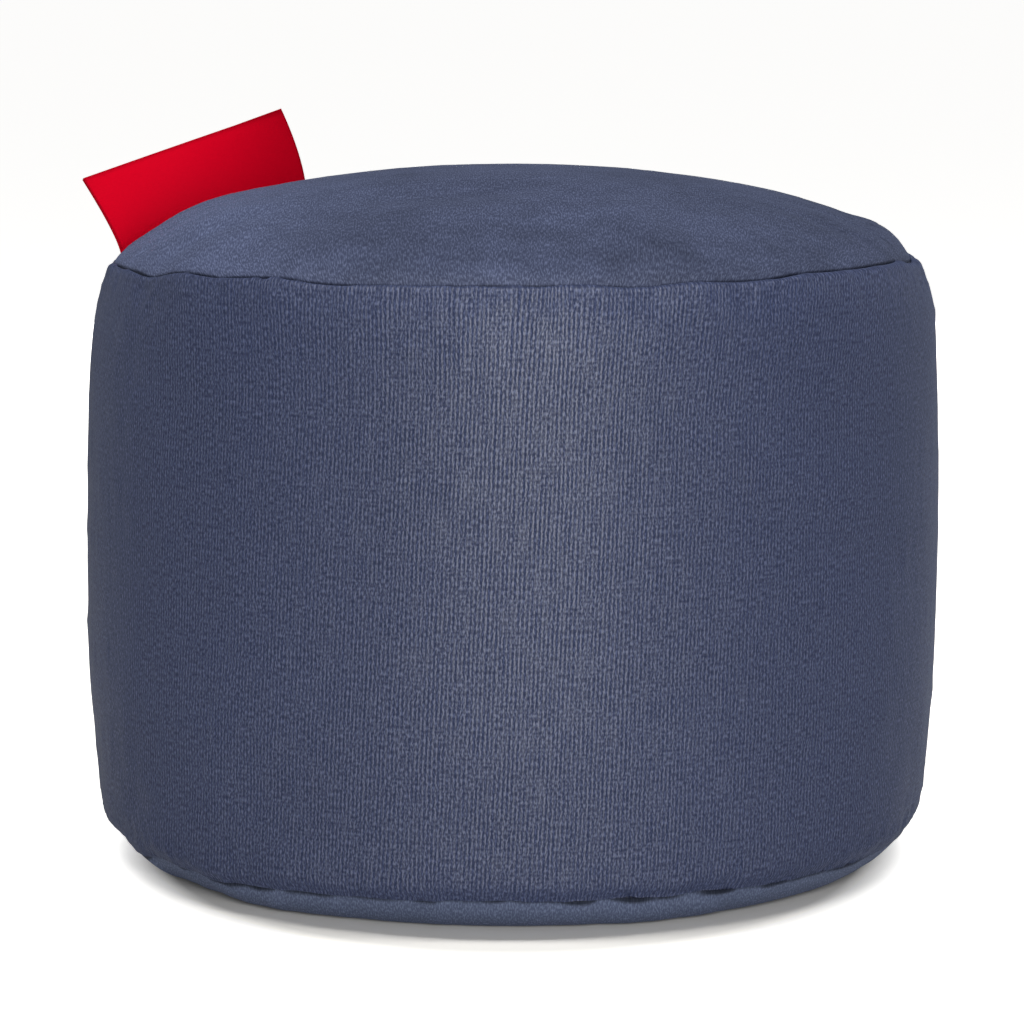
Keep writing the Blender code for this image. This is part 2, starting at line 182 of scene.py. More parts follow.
# The label's bottom edge follows the top seam. Its left end leans outwards and its right end stands up.
LABEL_ANGLES = (172, 124)
LABEL_TOP_LEFT = (-0.2585, 0.0800, 0.3908)
LABEL_TOP_RIGHT = (-0.1436, 0.1750, 0.4277)
LABEL_TOP_BULGE = (-0.0014, 0.0190, -0.0012)
LABEL_LEFT_RISE = (0.0, 0.0, 0.0100)
LABEL_RIGHT_RISE = (0.0062, -0.0016, 0.0267)
LABEL_COLUMNS = 97
LABEL_ROWS = 29
# In degrees: how far past its ends the label's room fades, and how far a seam's kinks are rounded
LABEL_ROOM_FADE = 2.5
KINK_ROUNDING = 0.5
# The groove in the top seam that holds the label
GROOVE_WIDTH = 0.0021
GROOVE_DEPTH = 0.0023

# The lip of the side band, from its crest into the groove: shares of its width, and depths
LIP_OUT = (1.0, 0.62, 0.36, 0.22, -0.10)
LIP_DOWN = (-0.0001, 0.0007, 0.0016, 0.0028, 0.0030)
LIP_LABEL_OUT = (0.0024, 0.0020, 0.0018, 0.0018, 0.0)
# Painted shade on the lip's rings, clear at the crest and dark in the groove: top lip, base lip, base
# shoulder
TOP_LIP_DARKNESS = (0.12, 0.62, 0.95, 1.0, 1.0)
BASE_LIP_DARKNESS = (0.8, 1.0, 1.0, 1.0, 1.0)
BASE_SHOULDER_DARKNESS = (0.0, 0.0, 0.1, 0.4)
# How much painted shade a seam's groove gets where the seam is shut, against where it gapes
TOP_SHUT, BASE_SHUT = 0.3, 0.6
# How far a gap in the stitching lowers the band's lip at the top, and the base panel's rim
TOP_GAP_DROP = 0.0012
BASE_GAP_DROP = 0.0020
# The edge of a panel turns into the groove over these offsets.
TUCK_IN = (0.0001, 0.0003)
TUCK_DOWN = (0.0010, 0.0022)

# The flat cuts: the two round panels and the label
LABEL_CUT = (0.195, 0.068)


# ---------------------------------------------------------------- the drum's shape


# The small waves of a row of gathers, and the broad ones that bunch them here and there
SMALL_WAVES, SMALL_HEIGHT = 26, 7.0
BUNCH_WAVES, BUNCH_HEIGHT, BUNCH_LEAST = range(5, 17), 6.0, 0.45
# How evenly the wall's rows are spaced: 1 is evenly, less is closer together near the seams
EVEN_ROWS = 0.45


def smooth_step(value):
    value = np.clip(value, 0.0, 1.0)
    return value * value * (3.0 - 2.0 * value)


def smooth_curve(at, places, values):
    """A curve through the given values, with no overshoot at the ends of the table."""
    places = np.asarray(places, float)
    values = np.asarray(values, float)
    slopes = np.gradient(values, places, axis=0)
    index = np.clip(np.searchsorted(places, at, side="right") - 1, 0, len(places) - 2)
    span = places[index + 1] - places[index]
    part = np.clip((at - places[index]) / span, 0.0, 1.0)
    rise = values[index + 1] - values[index]
    start, end = slopes[index] * span, slopes[index + 1] * span
    bend = part * (1.0 - part) * ((1.0 - part) * (start - rise) - part * (end - rise))
    return values[index] + part * rise + bend


def around(at, points):
    """A seam's lift at each angle in degrees, closed around the drum, with its kinks barely rounded."""
    angles, lifts = zip(*points)
    lift = np.zeros(np.shape(at))
    for aside, share in ((-KINK_ROUNDING, 0.25), (0.0, 0.5), (KINK_ROUNDING, 0.25)):
        lift = lift + share * np.interp(np.asarray(at) + aside, angles, lifts, period=360.0)
    return lift


def turn_from(angle, centre):
    return np.mod(angle - centre + 180.0, 360.0) - 180.0


def seam_opening(angle, gaps):
    """How far a seam gapes at each angle, from 0 to 1."""
    opening = np.zeros(np.shape(angle))
    for centre, half, share in gaps:
        lens = 1.0 - (turn_from(angle, centre) / half) ** 2
        opening = np.maximum(opening, share * np.sqrt(np.clip(lens, 0.0, 1.0)))
    return opening


def label_room(angle):
    """1 where the top seam makes room for the label, fading to 0 past its ends."""
    first, last = LABEL_ANGLES
    middle, half = 0.5 * (first + last), 0.5 * (first - last)
    return smooth_step((half + LABEL_ROOM_FADE - np.abs(turn_from(angle, middle))) / LABEL_ROOM_FADE)


def fold_depth(panel, angle, at, radius):
    """How far the folds of a panel push its surface into the filling."""
    depth = np.zeros(np.shape(angle))
    for fold in FOLDS[panel]:
        turn = math.radians(fold.turn)
        side = np.radians(turn_from(angle, fold.angle)) * radius
        rise = (at - fold.at) * (-1.0 if panel == "top" else 1.0)
        along = side * math.cos(turn) + rise * math.sin(turn)
        across = rise * math.cos(turn) - side * math.sin(turn)
        ends = np.exp(-((2.0 * along / fold.length) ** 4))
        depth = depth + fold.depth * ends * np.exp(-0.5 * (across / fold.width) ** 2)
    return depth


def gather_wave(angle, seed, waves):
    """An uneven row of small gathers around a seam, about -1 to 1."""
    rng = np.random.default_rng(seed)
    turn = np.radians(angle)
    small = rng.choice(np.arange(waves[0], waves[1]), SMALL_WAVES, replace=False)
    total = sum(np.cos(wave * turn + rng.uniform(0.0, TURN)) for wave in small)
    bunch = sum(np.cos(wave * turn + rng.uniform(0.0, TURN)) for wave in BUNCH_WAVES)
    bunched = smooth_step(0.5 + bunch / BUNCH_HEIGHT)
    return total / SMALL_HEIGHT * (BUNCH_LEAST + (1.0 - BUNCH_LEAST) * bunched)


def angles_of(count):
    return np.arange(count) * 360.0 / count


def ring(radius, height, angle):
    turn = np.radians(angle)
    radius = np.broadcast_to(radius, turn.shape)
    height = np.broadcast_to(height, turn.shape)
    return np.stack([radius * np.cos(turn), radius * np.sin(turn), height], axis=-1)


def dome_height(share, angle):
    """The height of the top panel, at a share of the way from its middle to the top seam."""
    radius = share * TOP_SEAM_RADIUS
    dome = (1.0 - share**DOME_SPREAD) ** DOME_SHOULDER
    height = TOP_SEAM_HEIGHT + (CROWN_HEIGHT - TOP_SEAM_HEIGHT) * dome
    height = height + around(angle, TOP_SEAM_LINE) * share**DOME_RIM_POWER
    return height - fold_depth("top", angle, radius, radius) * (1.0 - share**DOME_RIM_POWER)


def wall_ring(height, angle):
    """The radius and the height of the side band at a height of its upright section."""
    left = smooth_curve(height, SECTION_HEIGHTS, [section.left for section in SECTIONS])
    right = smooth_curve(height, SECTION_HEIGHTS, [section.right for section in SECTIONS])
    radius = left + (right - left) * (0.5 + 0.5 * np.cos(np.radians(angle)))
    fade = smooth_step((height - WALL_LOW) / FOLD_FADE) * smooth_step((WALL_HIGH - height) / FOLD_FADE)
    radius = radius - fold_depth("side", angle, height, radius) * fade
    top = around(angle, TOP_SEAM_LINE) * smooth_step(1.0 - (WALL_HIGH - height) / TOP_SEAM_REACH)
    base = around(angle, BASE_SEAM_LINE) * smooth_step(1.0 - (height - WALL_LOW) / BASE_SEAM_REACH)
    return radius, height + top + base


def wall_heights(rows):
    """Heights up the side band, closer together near the seams."""
    step = np.linspace(0.0, 1.0, rows)
    eased = EVEN_ROWS * step + 0.5 * (1.0 - EVEN_ROWS) * (1.0 - np.cos(math.pi * step))
    return WALL_LOW + (WALL_HIGH - WALL_LOW) * eased


def count_at(radius, whole):
    """Segments of a ring, halved each time that they would come too close together."""
    count = whole
    while count % 2 == 0 and count > FEWEST_AROUND and radius < 0.5 * TOP_SEAM_RADIUS * count / whole:
        count //= 2
    return count


# ---------------------------------------------------------------- meshes made of rings


def ring_faces(rings, low_pole=True):
    """Faces between rings that run up the outside, and each corner's place around the drum.

    The poles come after the points of the rings: the low one, if there is one, and the high one.
    """
    starts = np.cumsum([0] + [len(points) for points in rings]).tolist()
    faces, turns = [], []

    def add(*corners):
        """Add a face. Each corner is a ring and a step around it."""
        faces.append(tuple(starts[row] + step % len(rings[row]) for row, step in corners))
        turns.append(tuple(step / len(rings[row]) for row, step in corners))

    for low in range(len(rings) - 1):
        high = low + 1
        below, above = len(rings[low]), len(rings[high])
        for here in range(min(below, above)):
            near = 2 * here
            if below == above:
                add((low, here), (low, here + 1), (high, here + 1), (high, here))
            elif below == 2 * above:
                add((low, near), (low, near + 1), (high, here))
                add((low, near + 1), (low, near + 2), (high, here + 1), (high, here))
            elif above == 2 * below:
                add((low, here), (high, near + 1), (high, near))
                add((low, here), (low, here + 1), (high, near + 2), (high, near + 1))
            else:
                raise ValueError(f"ring {low} has {below} points and the next one {above}")

    def close(start, count, pole, order):
        """Add the faces from a ring to its pole. order is -1 where they are seen from the other side."""
        for here in range(count):
            faces.append((start + here, start + (here + 1) % count, pole)[::order])
            turns.append((here / count, (here + 1) / count, (here + 0.5) / count)[::order])

    if low_pole:
        close(0, len(rings[0]), starts[-1], -1)
    close(starts[-2], len(rings[-1]), starts[-1] + int(low_pole), 1)
    return faces, turns


def middle_of(points):
    """The pole in the middle of a ring."""
    return tuple(points.mean(axis=0))


def ring_points(rings, *poles):
    return np.concatenate([*rings, poles])


def new_mesh(name, points, faces, edges=()):
    mesh = bpy.data.meshes.new(name)
    mesh.from_pydata(points.tolist(), edges, faces)
    mesh.shade_smooth()
    return mesh


def new_object(name, data):
    thing = bpy.data.objects.new(name, data)
    bpy.context.scene.collection.objects.link(thing)
    return thing


def add_corner_map(mesh, places):
    """places holds one pair of metres for each face corner, so the weave keeps its real size."""
    layer = mesh.uv_layers.new(name="weave")
    layer.data.foreach_set("uv", np.asarray(places, np.float32).ravel())


def add_point_values(mesh, **values):
    """One number for each point, under each name."""
    for name, numbers in values.items():
        layer = mesh.attributes.new(name, "FLOAT", "POINT")
        layer.data.foreach_set("value", np.asarray(numbers, np.float32))


# ---------------------------------------------------------------- filling the skin


SKIN_ROWS = 70
SKIN_STEP = 0.0048
SKIN_HUB = 0.010
SKIN_RIM = 0.0012
SKIN_SEED = 5
SKIN_UNEVEN = 0.0004
OUTLINE_WAVES = 4
DOME_SHARE = 0.45
CLOTH_BEHAVIOUR = {
    "quality": 5,
    "mass": 0.15,
    "tension_stiffness": 25.0,
    "compression_stiffness": 25.0,
    "shear_stiffness": 8.0,
    "bending_stiffness": 0.8,
    "use_pressure": True,
}


def base_climb(share, lift):
    """The height of the base panel, at a share of the way from the foot to the bottom seam."""
    return (BASE_SEAM_HEIGHT + lift) * share**BASE_CLIMB


def middle_rings(radii, height, whole):
    """Level rings of the flat middle of the base."""
    return [ring(radius, height, angles_of(count_at(radius, whole))) for radius in radii]


def skin_rings():
    """The sewn skin before it is filled: rings from the middle of the base to the middle of the top.

    held says which rings are fixed. The wall's rings start at first_wall, and the dome's at seam.
    """
    angle = angles_of(SKIN_AROUND)
    lift = around(angle, BASE_SEAM_LINE)
    rings = middle_rings((*MIDDLE_RADII, FOOT_RADIUS), 0.0, SKIN_AROUND)
    for share in (0.35, 0.7, 1.0):
        radius = FOOT_RADIUS + (BASE_SEAM_RADIUS - FOOT_RADIUS) * share
        rings.append(ring(radius, base_climb(share, lift), angle))
    first_wall = len(rings)
    heights = wall_heights(SKIN_ROWS)
    rings += [ring(*wall_ring(height, angle), angle) for height in heights]
    seam = len(rings)
    radii = np.array([TOP_SEAM_RADIUS, *np.arange(TOP_SEAM_RADIUS - SKIN_RIM, SKIN_HUB, -SKIN_STEP)])
    for radius in radii:
        angle = angles_of(count_at(radius, SKIN_AROUND))
        rings.append(ring(radius, dome_height(radius / TOP_SEAM_RADIUS, angle), angle))
    held = [row < first_wall or row == seam for row in range(len(rings))]
    return rings, held, heights, first_wall, radii, seam


def blow_up(rings, held, pressure, ease, frames):
    """Cloth that is fixed along its seams and pushed outwards. It gives back how far each point moved."""
    faces, _ = ring_faces(rings)
    start = ring_points(rings, (0.0, 0.0, 0.0), (0.0, 0.0, CROWN_HEIGHT))
    rng = np.random.default_rng(SKIN_SEED)
    fixed = np.array([flag for points, flag in zip(rings, held) for _ in points] + [True, False])
    start[~fixed] += rng.normal(0.0, SKIN_UNEVEN, (int((~fixed).sum()), 3))
    skin = new_object("skin", new_mesh("skin", start, faces))
    group = skin.vertex_groups.new(name="sewn")
    group.add(np.nonzero(fixed)[0].tolist(), 1.0, "REPLACE")
    cloth = skin.modifiers.new("filling", "CLOTH")
    for name, value in CLOTH_BEHAVIOUR.items():
        setattr(cloth.settings, name, value)
    cloth.settings.vertex_group_mass = group.name
    cloth.settings.uniform_pressure_force = pressure
    cloth.settings.shrink_min = -ease
    cloth.settings.effector_weights.gravity = 0.0
    cloth.collision_settings.use_collision = False
    cloth.collision_settings.use_self_collision = False
    scene = bpy.context.scene
    for number in range(1, frames + 1):
        scene.frame_set(number)
    filled = skin.evaluated_get(bpy.context.evaluated_depsgraph_get()).to_mesh()
    moved = np.zeros(len(filled.vertices) * 3)
    filled.vertices.foreach_get("co", moved)
    mesh = skin.data
    bpy.data.objects.remove(skin)
    bpy.data.meshes.remove(mesh)
    scene.frame_set(1)
    return moved.reshape(-1, 3) - start


def without_outline(values):
    """A ring at AROUND points without its mean and broad waves, so the outline stays the solids' own."""
    waves = np.fft.rfft(values)
    waves[: OUTLINE_WAVES + 1] = 0.0
    return np.fft.irfft(waves, AROUND) * AROUND / len(values)


@lru_cache(maxsize=None)
def swelling(pressure, ease, limit, frames):
    """How far the filling pushes each panel out between its seams, at AROUND points a ring."""
    rings, held, heights, first_wall, radii, seam = skin_rings()
    wall = np.zeros((len(heights), AROUND))
    dome = np.zeros((len(radii), AROUND))
    moves = blow_up(rings, held, pressure, ease, frames)
    starts = np.cumsum([0] + [len(points) for points in rings])
    turn = np.radians(angles_of(SKIN_AROUND))
    for row in range(len(heights)):
        move = moves[starts[first_wall + row] :][:SKIN_AROUND]
        wall[row] = without_outline(move[:, 0] * np.cos(turn) + move[:, 1] * np.sin(turn))
    for row in range(len(radii)):
        move = moves[starts[seam + row] : starts[seam + row + 1]]
        dome[row] = without_outline(move[:, 2])
    return heights, limit * np.tanh(wall / limit), radii, limit * np.tanh(DOME_SHARE * dome / limit)


# ---------------------------------------------------------------- node trees


class Number:
    """A node's output. Arithmetic with it adds Math nodes."""

    def __init__(self, graph, socket):
        self.graph, self.socket = graph, socket

    def __add__(self, other):
        return self.graph.math("ADD", self, other)

    def __sub__(self, other):
        return self.graph.math("SUBTRACT", self, other)

    def __rsub__(self, other):
        return self.graph.math("SUBTRACT", other, self)

    def __mul__(self, other):
        return self.graph.math("MULTIPLY", self, other)

    def __truediv__(self, other):
        return self.graph.math("DIVIDE", self, other)

    def __pow__(self, other):
        return self.graph.math("POWER", self, other)


class Graph:
    """Adds nodes to a tree and links them, from left to right."""

    def __init__(self, tree):
        self.tree = tree
        self.column = 0

    def add(self, kind, inputs=None, **settings):
        node = self.tree.nodes.new(kind)
        node.location = (self.column * 180.0, 0.0)
        self.column += 1
        for name, value in settings.items():
            setattr(node, name, value)
        self.fill(node, inputs or {})
        return node

    def fill(self, node, inputs):
        """Put links and plain values into a node's inputs."""
        for name, value in inputs.items():
            if isinstance(value, Number):
                self.tree.links.new(value.socket, node.inputs[name])
            else:
                node.inputs[name].default_value = value

    def outputs(self, node):
        return [Number(self, socket) for socket in node.outputs]

    def get(self, kind, inputs=None, output=0, **settings):
        """One output of a new node."""
        return Number(self, self.add(kind, inputs, **settings).outputs[output])

    def math(self, operation, *values, clamp=False):
        return self.get("ShaderNodeMath", dict(enumerate(values)), operation=operation, use_clamp=clamp)

    def vector(self, operation, *values, output=0):
        return self.get("ShaderNodeVectorMath", dict(enumerate(values)), output, operation=operation)

    def scaled(self, vector, share):
        return self.get("ShaderNodeVectorMath", {0: vector, "Scale": share}, operation="SCALE")

    def length(self, vector):
        return self.vector("LENGTH", vector, output="Value")

    def point(self, x=0.0, y=0.0, z=0.0):
        return self.get("ShaderNodeCombineXYZ", {0: x, 1: y, 2: z})

    def split(self, vector):
        return self.outputs(self.add("ShaderNodeSeparateXYZ", {0: vector}))

    def noise(self, vector, scale=1.0, detail=0.0, dimensions="2D"):
        inputs = {"Vector": vector, "Scale": scale, "Detail": detail}
        return self.get("ShaderNodeTexNoise", inputs, noise_dimensions=dimensions)

    def stretched_noise(self, across, along, stretch, detail=0.0):
        return self.noise(self.point(across * stretch[0], along * stretch[1]), 1.0, detail)

    def remap(self, value, low, high, to_low, to_high):
        inputs = dict(enumerate((value, low, high, to_low, to_high)))
        return self.get("ShaderNodeMapRange", inputs, clamp=True)

    def blend(self, share, first, second):
        inputs = {0: share, 6: (*first, 1.0), 7: (*second, 1.0)}
        return self.get("ShaderNodeMix", inputs, 2, data_type="RGBA")

    def bump(self, height, strength, distance):
        return self.get("ShaderNodeBump", {"Height": height, "Strength": strength, "Distance": distance})

    def point_value(self, name):
        return self.get("ShaderNodeAttribute", None, "Fac", attribute_name=name)

    def named_value(self, name):
        return self.get("GeometryNodeInputNamedAttribute", {"Name": name}, "Attribute", data_type="FLOAT")

    def weave_place(self):
        return self.get("ShaderNodeUVMap", uv_map="weave")

    def object_place(self):
        return self.get("ShaderNodeTexCoord", None, "Object")

    def finish(self, geometry, material):
        """End a tree that makes a piece of one material."""
        real = self.get("GeometryNodeRealizeInstances", {0: geometry})
        painted = self.get("GeometryNodeSetMaterial", {"Geometry": real, "Material": material})
        self.add("NodeGroupOutput", {0: painted})
        return self.tree


SOCKET_KINDS = {
    "Place": "NodeSocketVector",
    "Color": "NodeSocketColor",
    "Geometry": "NodeSocketGeometry",
    "Material": "NodeSocketMaterial",
}


def new_tree(name, kind, inputs, outputs):
    """The graph of a new node group, and its inputs by name. inputs holds each input's default, or None."""
    tree = bpy.data.node_groups.new(name, kind)
    for way, labels in (("INPUT", inputs), ("OUTPUT", outputs)):
        for label in labels:
            socket_kind = SOCKET_KINDS.get(label, "NodeSocketFloat")
            socket = tree.interface.new_socket(name=label, in_out=way, socket_type=socket_kind)
            if way == "INPUT" and inputs[label] is not None:
                socket.default_value = inputs[label]
    graph = Graph(tree)
    given = graph.outputs(graph.add("NodeGroupInput"))
    return graph, dict(zip(inputs, given))


# ---------------------------------------------------------------- finishes


RIB_COLOUR_SHARE = 0.11
CREST_POWER, CREST_GAIN, CREST_DROP = 1.8, 2.2, 0.86
FLECKS_ON_RIBS, STREAKS_ON_RIBS, WEFT_ON_RIBS = 3.2, 0.9, 0.35
# From which noise to which strength: patches of clearer ribs, and flecks
PATCH_RANGE, FLECK_RANGE = (0.36, 0.58, 0.5, 1.0), (0.42, 0.75, -0.12, 0.35)
# How quickly each unevenness of the weave changes across and along the ribs, per metre
DRIFT, BREAK_UP, STREAK, FLECK_ACROSS = (60.0, 34.0), (330.0, 70.0), (620.0, 42.0), 1250.0
TAPE_MOTTLE = (300.0, 900.0)
BREAK_UP_SHARE, WEFT_FADE = 0.4, 1.15
PATCH_SCALE = 75.0
BROAD_SCALE, CLOSE_SCALE = 9.0, 60.0
# Painted light: between these x places the colour grows paler towards the left, standing in for light from
# the left
PAINTED_LIGHT_START, PAINTED_LIGHT_END = -0.06, -0.20
# How far the painted shade in the seams' grooves darkens the cloth's colour
SEAM_SHADE_DARKNESS = 0.85
ROUGHNESS_RANGE = 0.12
# Where the ribs are polished enough to shine, how the shine fades at a flat angle, and in a crease
SHINY_POLISH, FLAT_ANGLE_SHINE, CREASE_SHINE_LOSS = (0.30, 0.85), (0.04, 0.55, 1.0, 0.1), 0.8
WOVEN_RELIEF, FINE_RELIEF = 0.0004, 0.0001
WOVEN_LOOK = {
    "Coat Roughness": 0.58,
    "Coat IOR": 1.9,
    "Specular Tint": (0.65, 0.74, 1.0, 1.0),
    "Sheen Weight": 0.045,
    "Sheen Roughness": 0.4,
    "Sheen Tint": (0.45, 0.58, 1.0, 1.0),
}


def shared(name, build):
    """The node group of this name, built the first time that it is needed."""
    return bpy.data.node_groups.get(name) or build(name)


def weave_group(name):
    """Ribbed plain weave: upright ribs that wander and break off, crossed by yarns."""
    inputs = {
        "Place": None,
        "Rib Pitch": 0.00234,
        "Yarn Pitch": 0.0021,
        "Rib Strength": 0.5,
        "Fleck Strength": 0.8,
        "Wander": 0.3,
        "Slub Length": 0.0024,
    }
    graph, given = new_tree(name, "ShaderNodeTree", inputs, ("Lightness", "Polish", "Height"))
    across, along, _ = graph.split(given["Place"])
    drift = graph.stretched_noise(across, along, DRIFT)
    break_up = graph.stretched_noise(across, along, BREAK_UP)
    wander = (break_up - 0.5) * BREAK_UP_SHARE + (drift - 0.5)
    phase = across / given["Rib Pitch"] + wander * given["Wander"]
    # Narrow light ribs between wider dark gaps
    crest = graph.math("COSINE", phase * TURN) * 0.5 + 0.5
    patch = graph.noise(graph.point(across, along), PATCH_SCALE, 1.0)
    amount = graph.remap(patch, *PATCH_RANGE)
    rib = (crest**CREST_POWER * CREST_GAIN - CREST_DROP) * amount
    # Bright flecks on an even ground
    slub = graph.noise(graph.point(across * FLECK_ACROSS, along / given["Slub Length"]), 1.0, 1.0)
    yarn = graph.remap(slub, *FLECK_RANGE)
    # Thick and thin yarns: each keeps its shade for a few centimetres
    streak = graph.stretched_noise(across, along, STREAK) - 0.5
    rib = rib * (yarn * FLECKS_ON_RIBS + 1.0) + streak * STREAKS_ON_RIBS
    weft = graph.math("COSINE", along / given["Yarn Pitch"] * TURN) * (WEFT_FADE - amount)
    ribs = (weft * WEFT_ON_RIBS + rib) * given["Rib Strength"]
    flecks = yarn * given["Fleck Strength"]
    # The ribs show by their polish and relief, and only a little by their colour.
    result = {
        "Lightness": graph.math("ADD", flecks * 2.0 + ribs * RIB_COLOUR_SHARE, 0.5, clamp=True),
        "Polish": graph.math("ADD", flecks + ribs * 0.5, 0.5, clamp=True),
        "Height": flecks * 1.5 + ribs * 0.5 + 0.5,
    }
    graph.add("NodeGroupOutput", result)
    return graph.tree


def mottle_and_painted_light_group(name):
    """Faint random changes of tone over a piece, painted light that makes the left side paler, and painted
    shade in the seams' grooves.
    """
    inputs = {"Color": None, "Mottle": 0.08, "Fade": 0.0, "Crease": 0.0}
    graph, given = new_tree(name, "ShaderNodeTree", inputs, ("Color",))
    place = graph.object_place()
    broad, close = (graph.noise(place, scale, 2.0, "3D") - 0.5 for scale in (BROAD_SCALE, CLOSE_SCALE))
    mottle = (close * 0.6 + broad) * given["Mottle"]
    # Painted light: the colour grows paler towards the left side.
    left = graph.remap(graph.split(place)[0], PAINTED_LIGHT_START, PAINTED_LIGHT_END, 0.0, given["Fade"])
    # Painted shade darkens the seams' grooves.
    shade = (mottle * 2.0 + 1.0 + left) * (1.0 - given["Crease"] * SEAM_SHADE_DARKNESS)
    graph.add("NodeGroupOutput", {"Color": graph.scaled(given["Color"], shade)})
    return graph.tree


def new_material(name):
    material = bpy.data.materials.new(name)
    material.use_nodes = True
    return material, Graph(material.node_tree), material.node_tree.nodes["Principled BSDF"]


def woven_material(name, cloth, tint=(1.0, 1.0, 1.0), rougher=0.0, mottle=0.08, fade=0.0, **shares):
    """Cloth of dark and light yarns. tint and shares multiply the cloth's own colours and settings. fade is
    painted light that makes the left side paler.
    """

    def of(setting):
        return getattr(cloth, setting) * shares.get(setting, 1.0)

    material, graph, shader = new_material(name)
    woven = {"Place": graph.weave_place()}
    for setting in ("rib_pitch", "yarn_pitch", "rib_strength", "fleck_strength", "wander", "slub_length"):
        woven[setting.replace("_", " ").title()] = of(setting)
    weave = graph.add("ShaderNodeGroup", woven, node_tree=shared("Ribbed weave", weave_group))
    lightness, polish, height = graph.outputs(weave)
    # Painted shade in the seams' grooves, read from the points
    crease = graph.point_value("crease")
    yarns = (cloth.dark_yarn, cloth.light_yarn)
    dark, light = ([part * share for part, share in zip(yarn, tint)] for yarn in yarns)
    # Random mottle, with painted light on the left side and painted shade in the grooves
    worn = {"Color": graph.blend(lightness, dark, light), "Crease": crease, "Mottle": mottle, "Fade": fade}
    # The ribs' crests shine. At a flat angle the yarns hide each other's shine, as a seam's groove does.
    facing = graph.get("ShaderNodeLayerWeight", None, "Facing")
    shine = graph.remap(polish, *SHINY_POLISH, 0.0, of("shine")) * graph.remap(facing, *FLAT_ANGLE_SHINE)
    roughness = cloth.roughness + rougher
    rough, smooth = roughness + ROUGHNESS_RANGE, roughness - ROUGHNESS_RANGE
    look = {
        "Base Color": graph.get("ShaderNodeGroup", worn, node_tree=shared("Mottle and painted light", mottle_and_painted_light_group)),
        "Roughness": graph.remap(polish, 0.0, 1.0, rough, smooth),
        "Normal": graph.bump(height, of("bump"), WOVEN_RELIEF),
        "Specular IOR Level": cloth.gloss,
        "Coat Weight": shine * (1.0 - crease * CREASE_SHINE_LOSS),
    }
    graph.fill(shader, {**look, **WOVEN_LOOK})
    return material


def band_material(cloth):
    return woven_material("Ribbed band cloth", cloth)


def base_material(cloth):
    """The base panel is painted much paler than the band, standing in for light on its shaded,
    downward-facing rim, and a little greyer. It is turned up from the floor.
    """
    shares = {
        "rib_pitch": 0.5, "yarn_pitch": 0.5, "rib_strength": 0.3, "fleck_strength": 0.7,
        "wander": 2.0, "bump": 0.5, "shine": 0.3,
    }  # fmt: skip
    return woven_material("Base cloth with painted light", cloth, cloth.base_tint_and_painted_light, rougher=0.1, mottle=0.12, **shares)


def panel_material(cloth):
    """The top panel is brushed: its ribs hardly show. Its left side is painted paler, standing in for light
    from the left.
    """
    shares = {
        "rib_pitch": 0.5, "yarn_pitch": 0.5, "rib_strength": 0.3, "fleck_strength": 0.9,
        "wander": 2.0, "slub_length": 1.7, "bump": 0.7, "shine": 0.3,
    }  # fmt: skip
    return woven_material(
        "Brushed panel cloth", cloth, cloth.panel_tint, rougher=0.12, mottle=0.5, fade=0.65, **shares
    )


def label_material(label):
    """Smooth red tape: fine level picks, woven edges a little darker."""
    material, graph, shader = new_material("Red label tape")
    along, up, _ = graph.split(graph.weave_place())
    picks = graph.math("COSINE", up * (TURN / label.pick_pitch))
    weave = picks * graph.math("COSINE", along * (TURN / (label.pick_pitch * 0.8)))
    mottle = graph.stretched_noise(along, up, TAPE_MOTTLE, 2.0) - 0.5
    shade = (weave * 0.05 + 0.93 + mottle * 0.12) * (1.0 - graph.point_value("edge") * 0.38)
    look = {
        "Base Color": graph.scaled(label.colour[:3], shade),
        "Roughness": graph.remap(weave, -1.0, 1.0, 0.62, 0.5),
        "Normal": graph.bump(weave, 0.25, FINE_RELIEF),
        "Specular IOR Level": 0.01,
    }
    graph.fill(shader, look)
    return material


def thread_material(stitching):
    material, graph, shader = new_material("Twisted seam thread")
    twist = graph.noise(graph.object_place(), 2600.0, 1.0, "3D")
    light = stitching.colour[:3]
    dark = [0.45 * part for part in light]
    look = {
        "Base Color": graph.blend(graph.remap(twist, 0.35, 0.65, 0.0, 1.0), dark, light),
        "Roughness": graph.remap(twist, 0.0, 1.0, 0.7, 0.5),
        "Normal": graph.bump(twist, 0.4, FINE_RELIEF),
    }
    graph.fill(shader, look)
    return material


def floor_material(stage):
    material, graph, shader = new_material("Pale floor")
    place = graph.object_place()
    light = stage.floor_colour[:3]
    dark = [0.985 * part for part in light]
    # Away from the drum the floor is overexposed to plain white for the camera alone.
    far = graph.length(graph.vector("MULTIPLY", place, GLOW_SHAPE))
    glow = graph.remap(far, GLOW_START, GLOW_END, 0.0, stage.glow)
    look = {
        "Base Color": graph.blend(graph.noise(place, 30.0, 3.0, "3D"), dark, light),
        "Roughness": 0.9,
        "Specular IOR Level": 0.1,
        "Emission Color": WHITE,
        "Emission Strength": glow * graph.get("ShaderNodeLightPath", None, "Is Camera Ray"),
    }
    graph.fill(shader, look)
    return material


# ---------------------------------------------------------------- the pieces


WALL_ROWS = 88
SHOULDER_ROWS = (0.2, 0.42, 0.64, 0.84)
SHOULDER_REACH, SHOULDER_PAST_CREST = 0.95, 0.0004
PANEL_STEP, PANEL_HUB = 0.0034, 0.006
RIM_SHARES = (1.0, 0.9990, 0.9965, 0.9925, 0.9865)
# The dome's slope at its rim, and how soon its gathers begin beside the seam
RIM_SLOPE, RIM_CLEAR = 1.6, 0.004
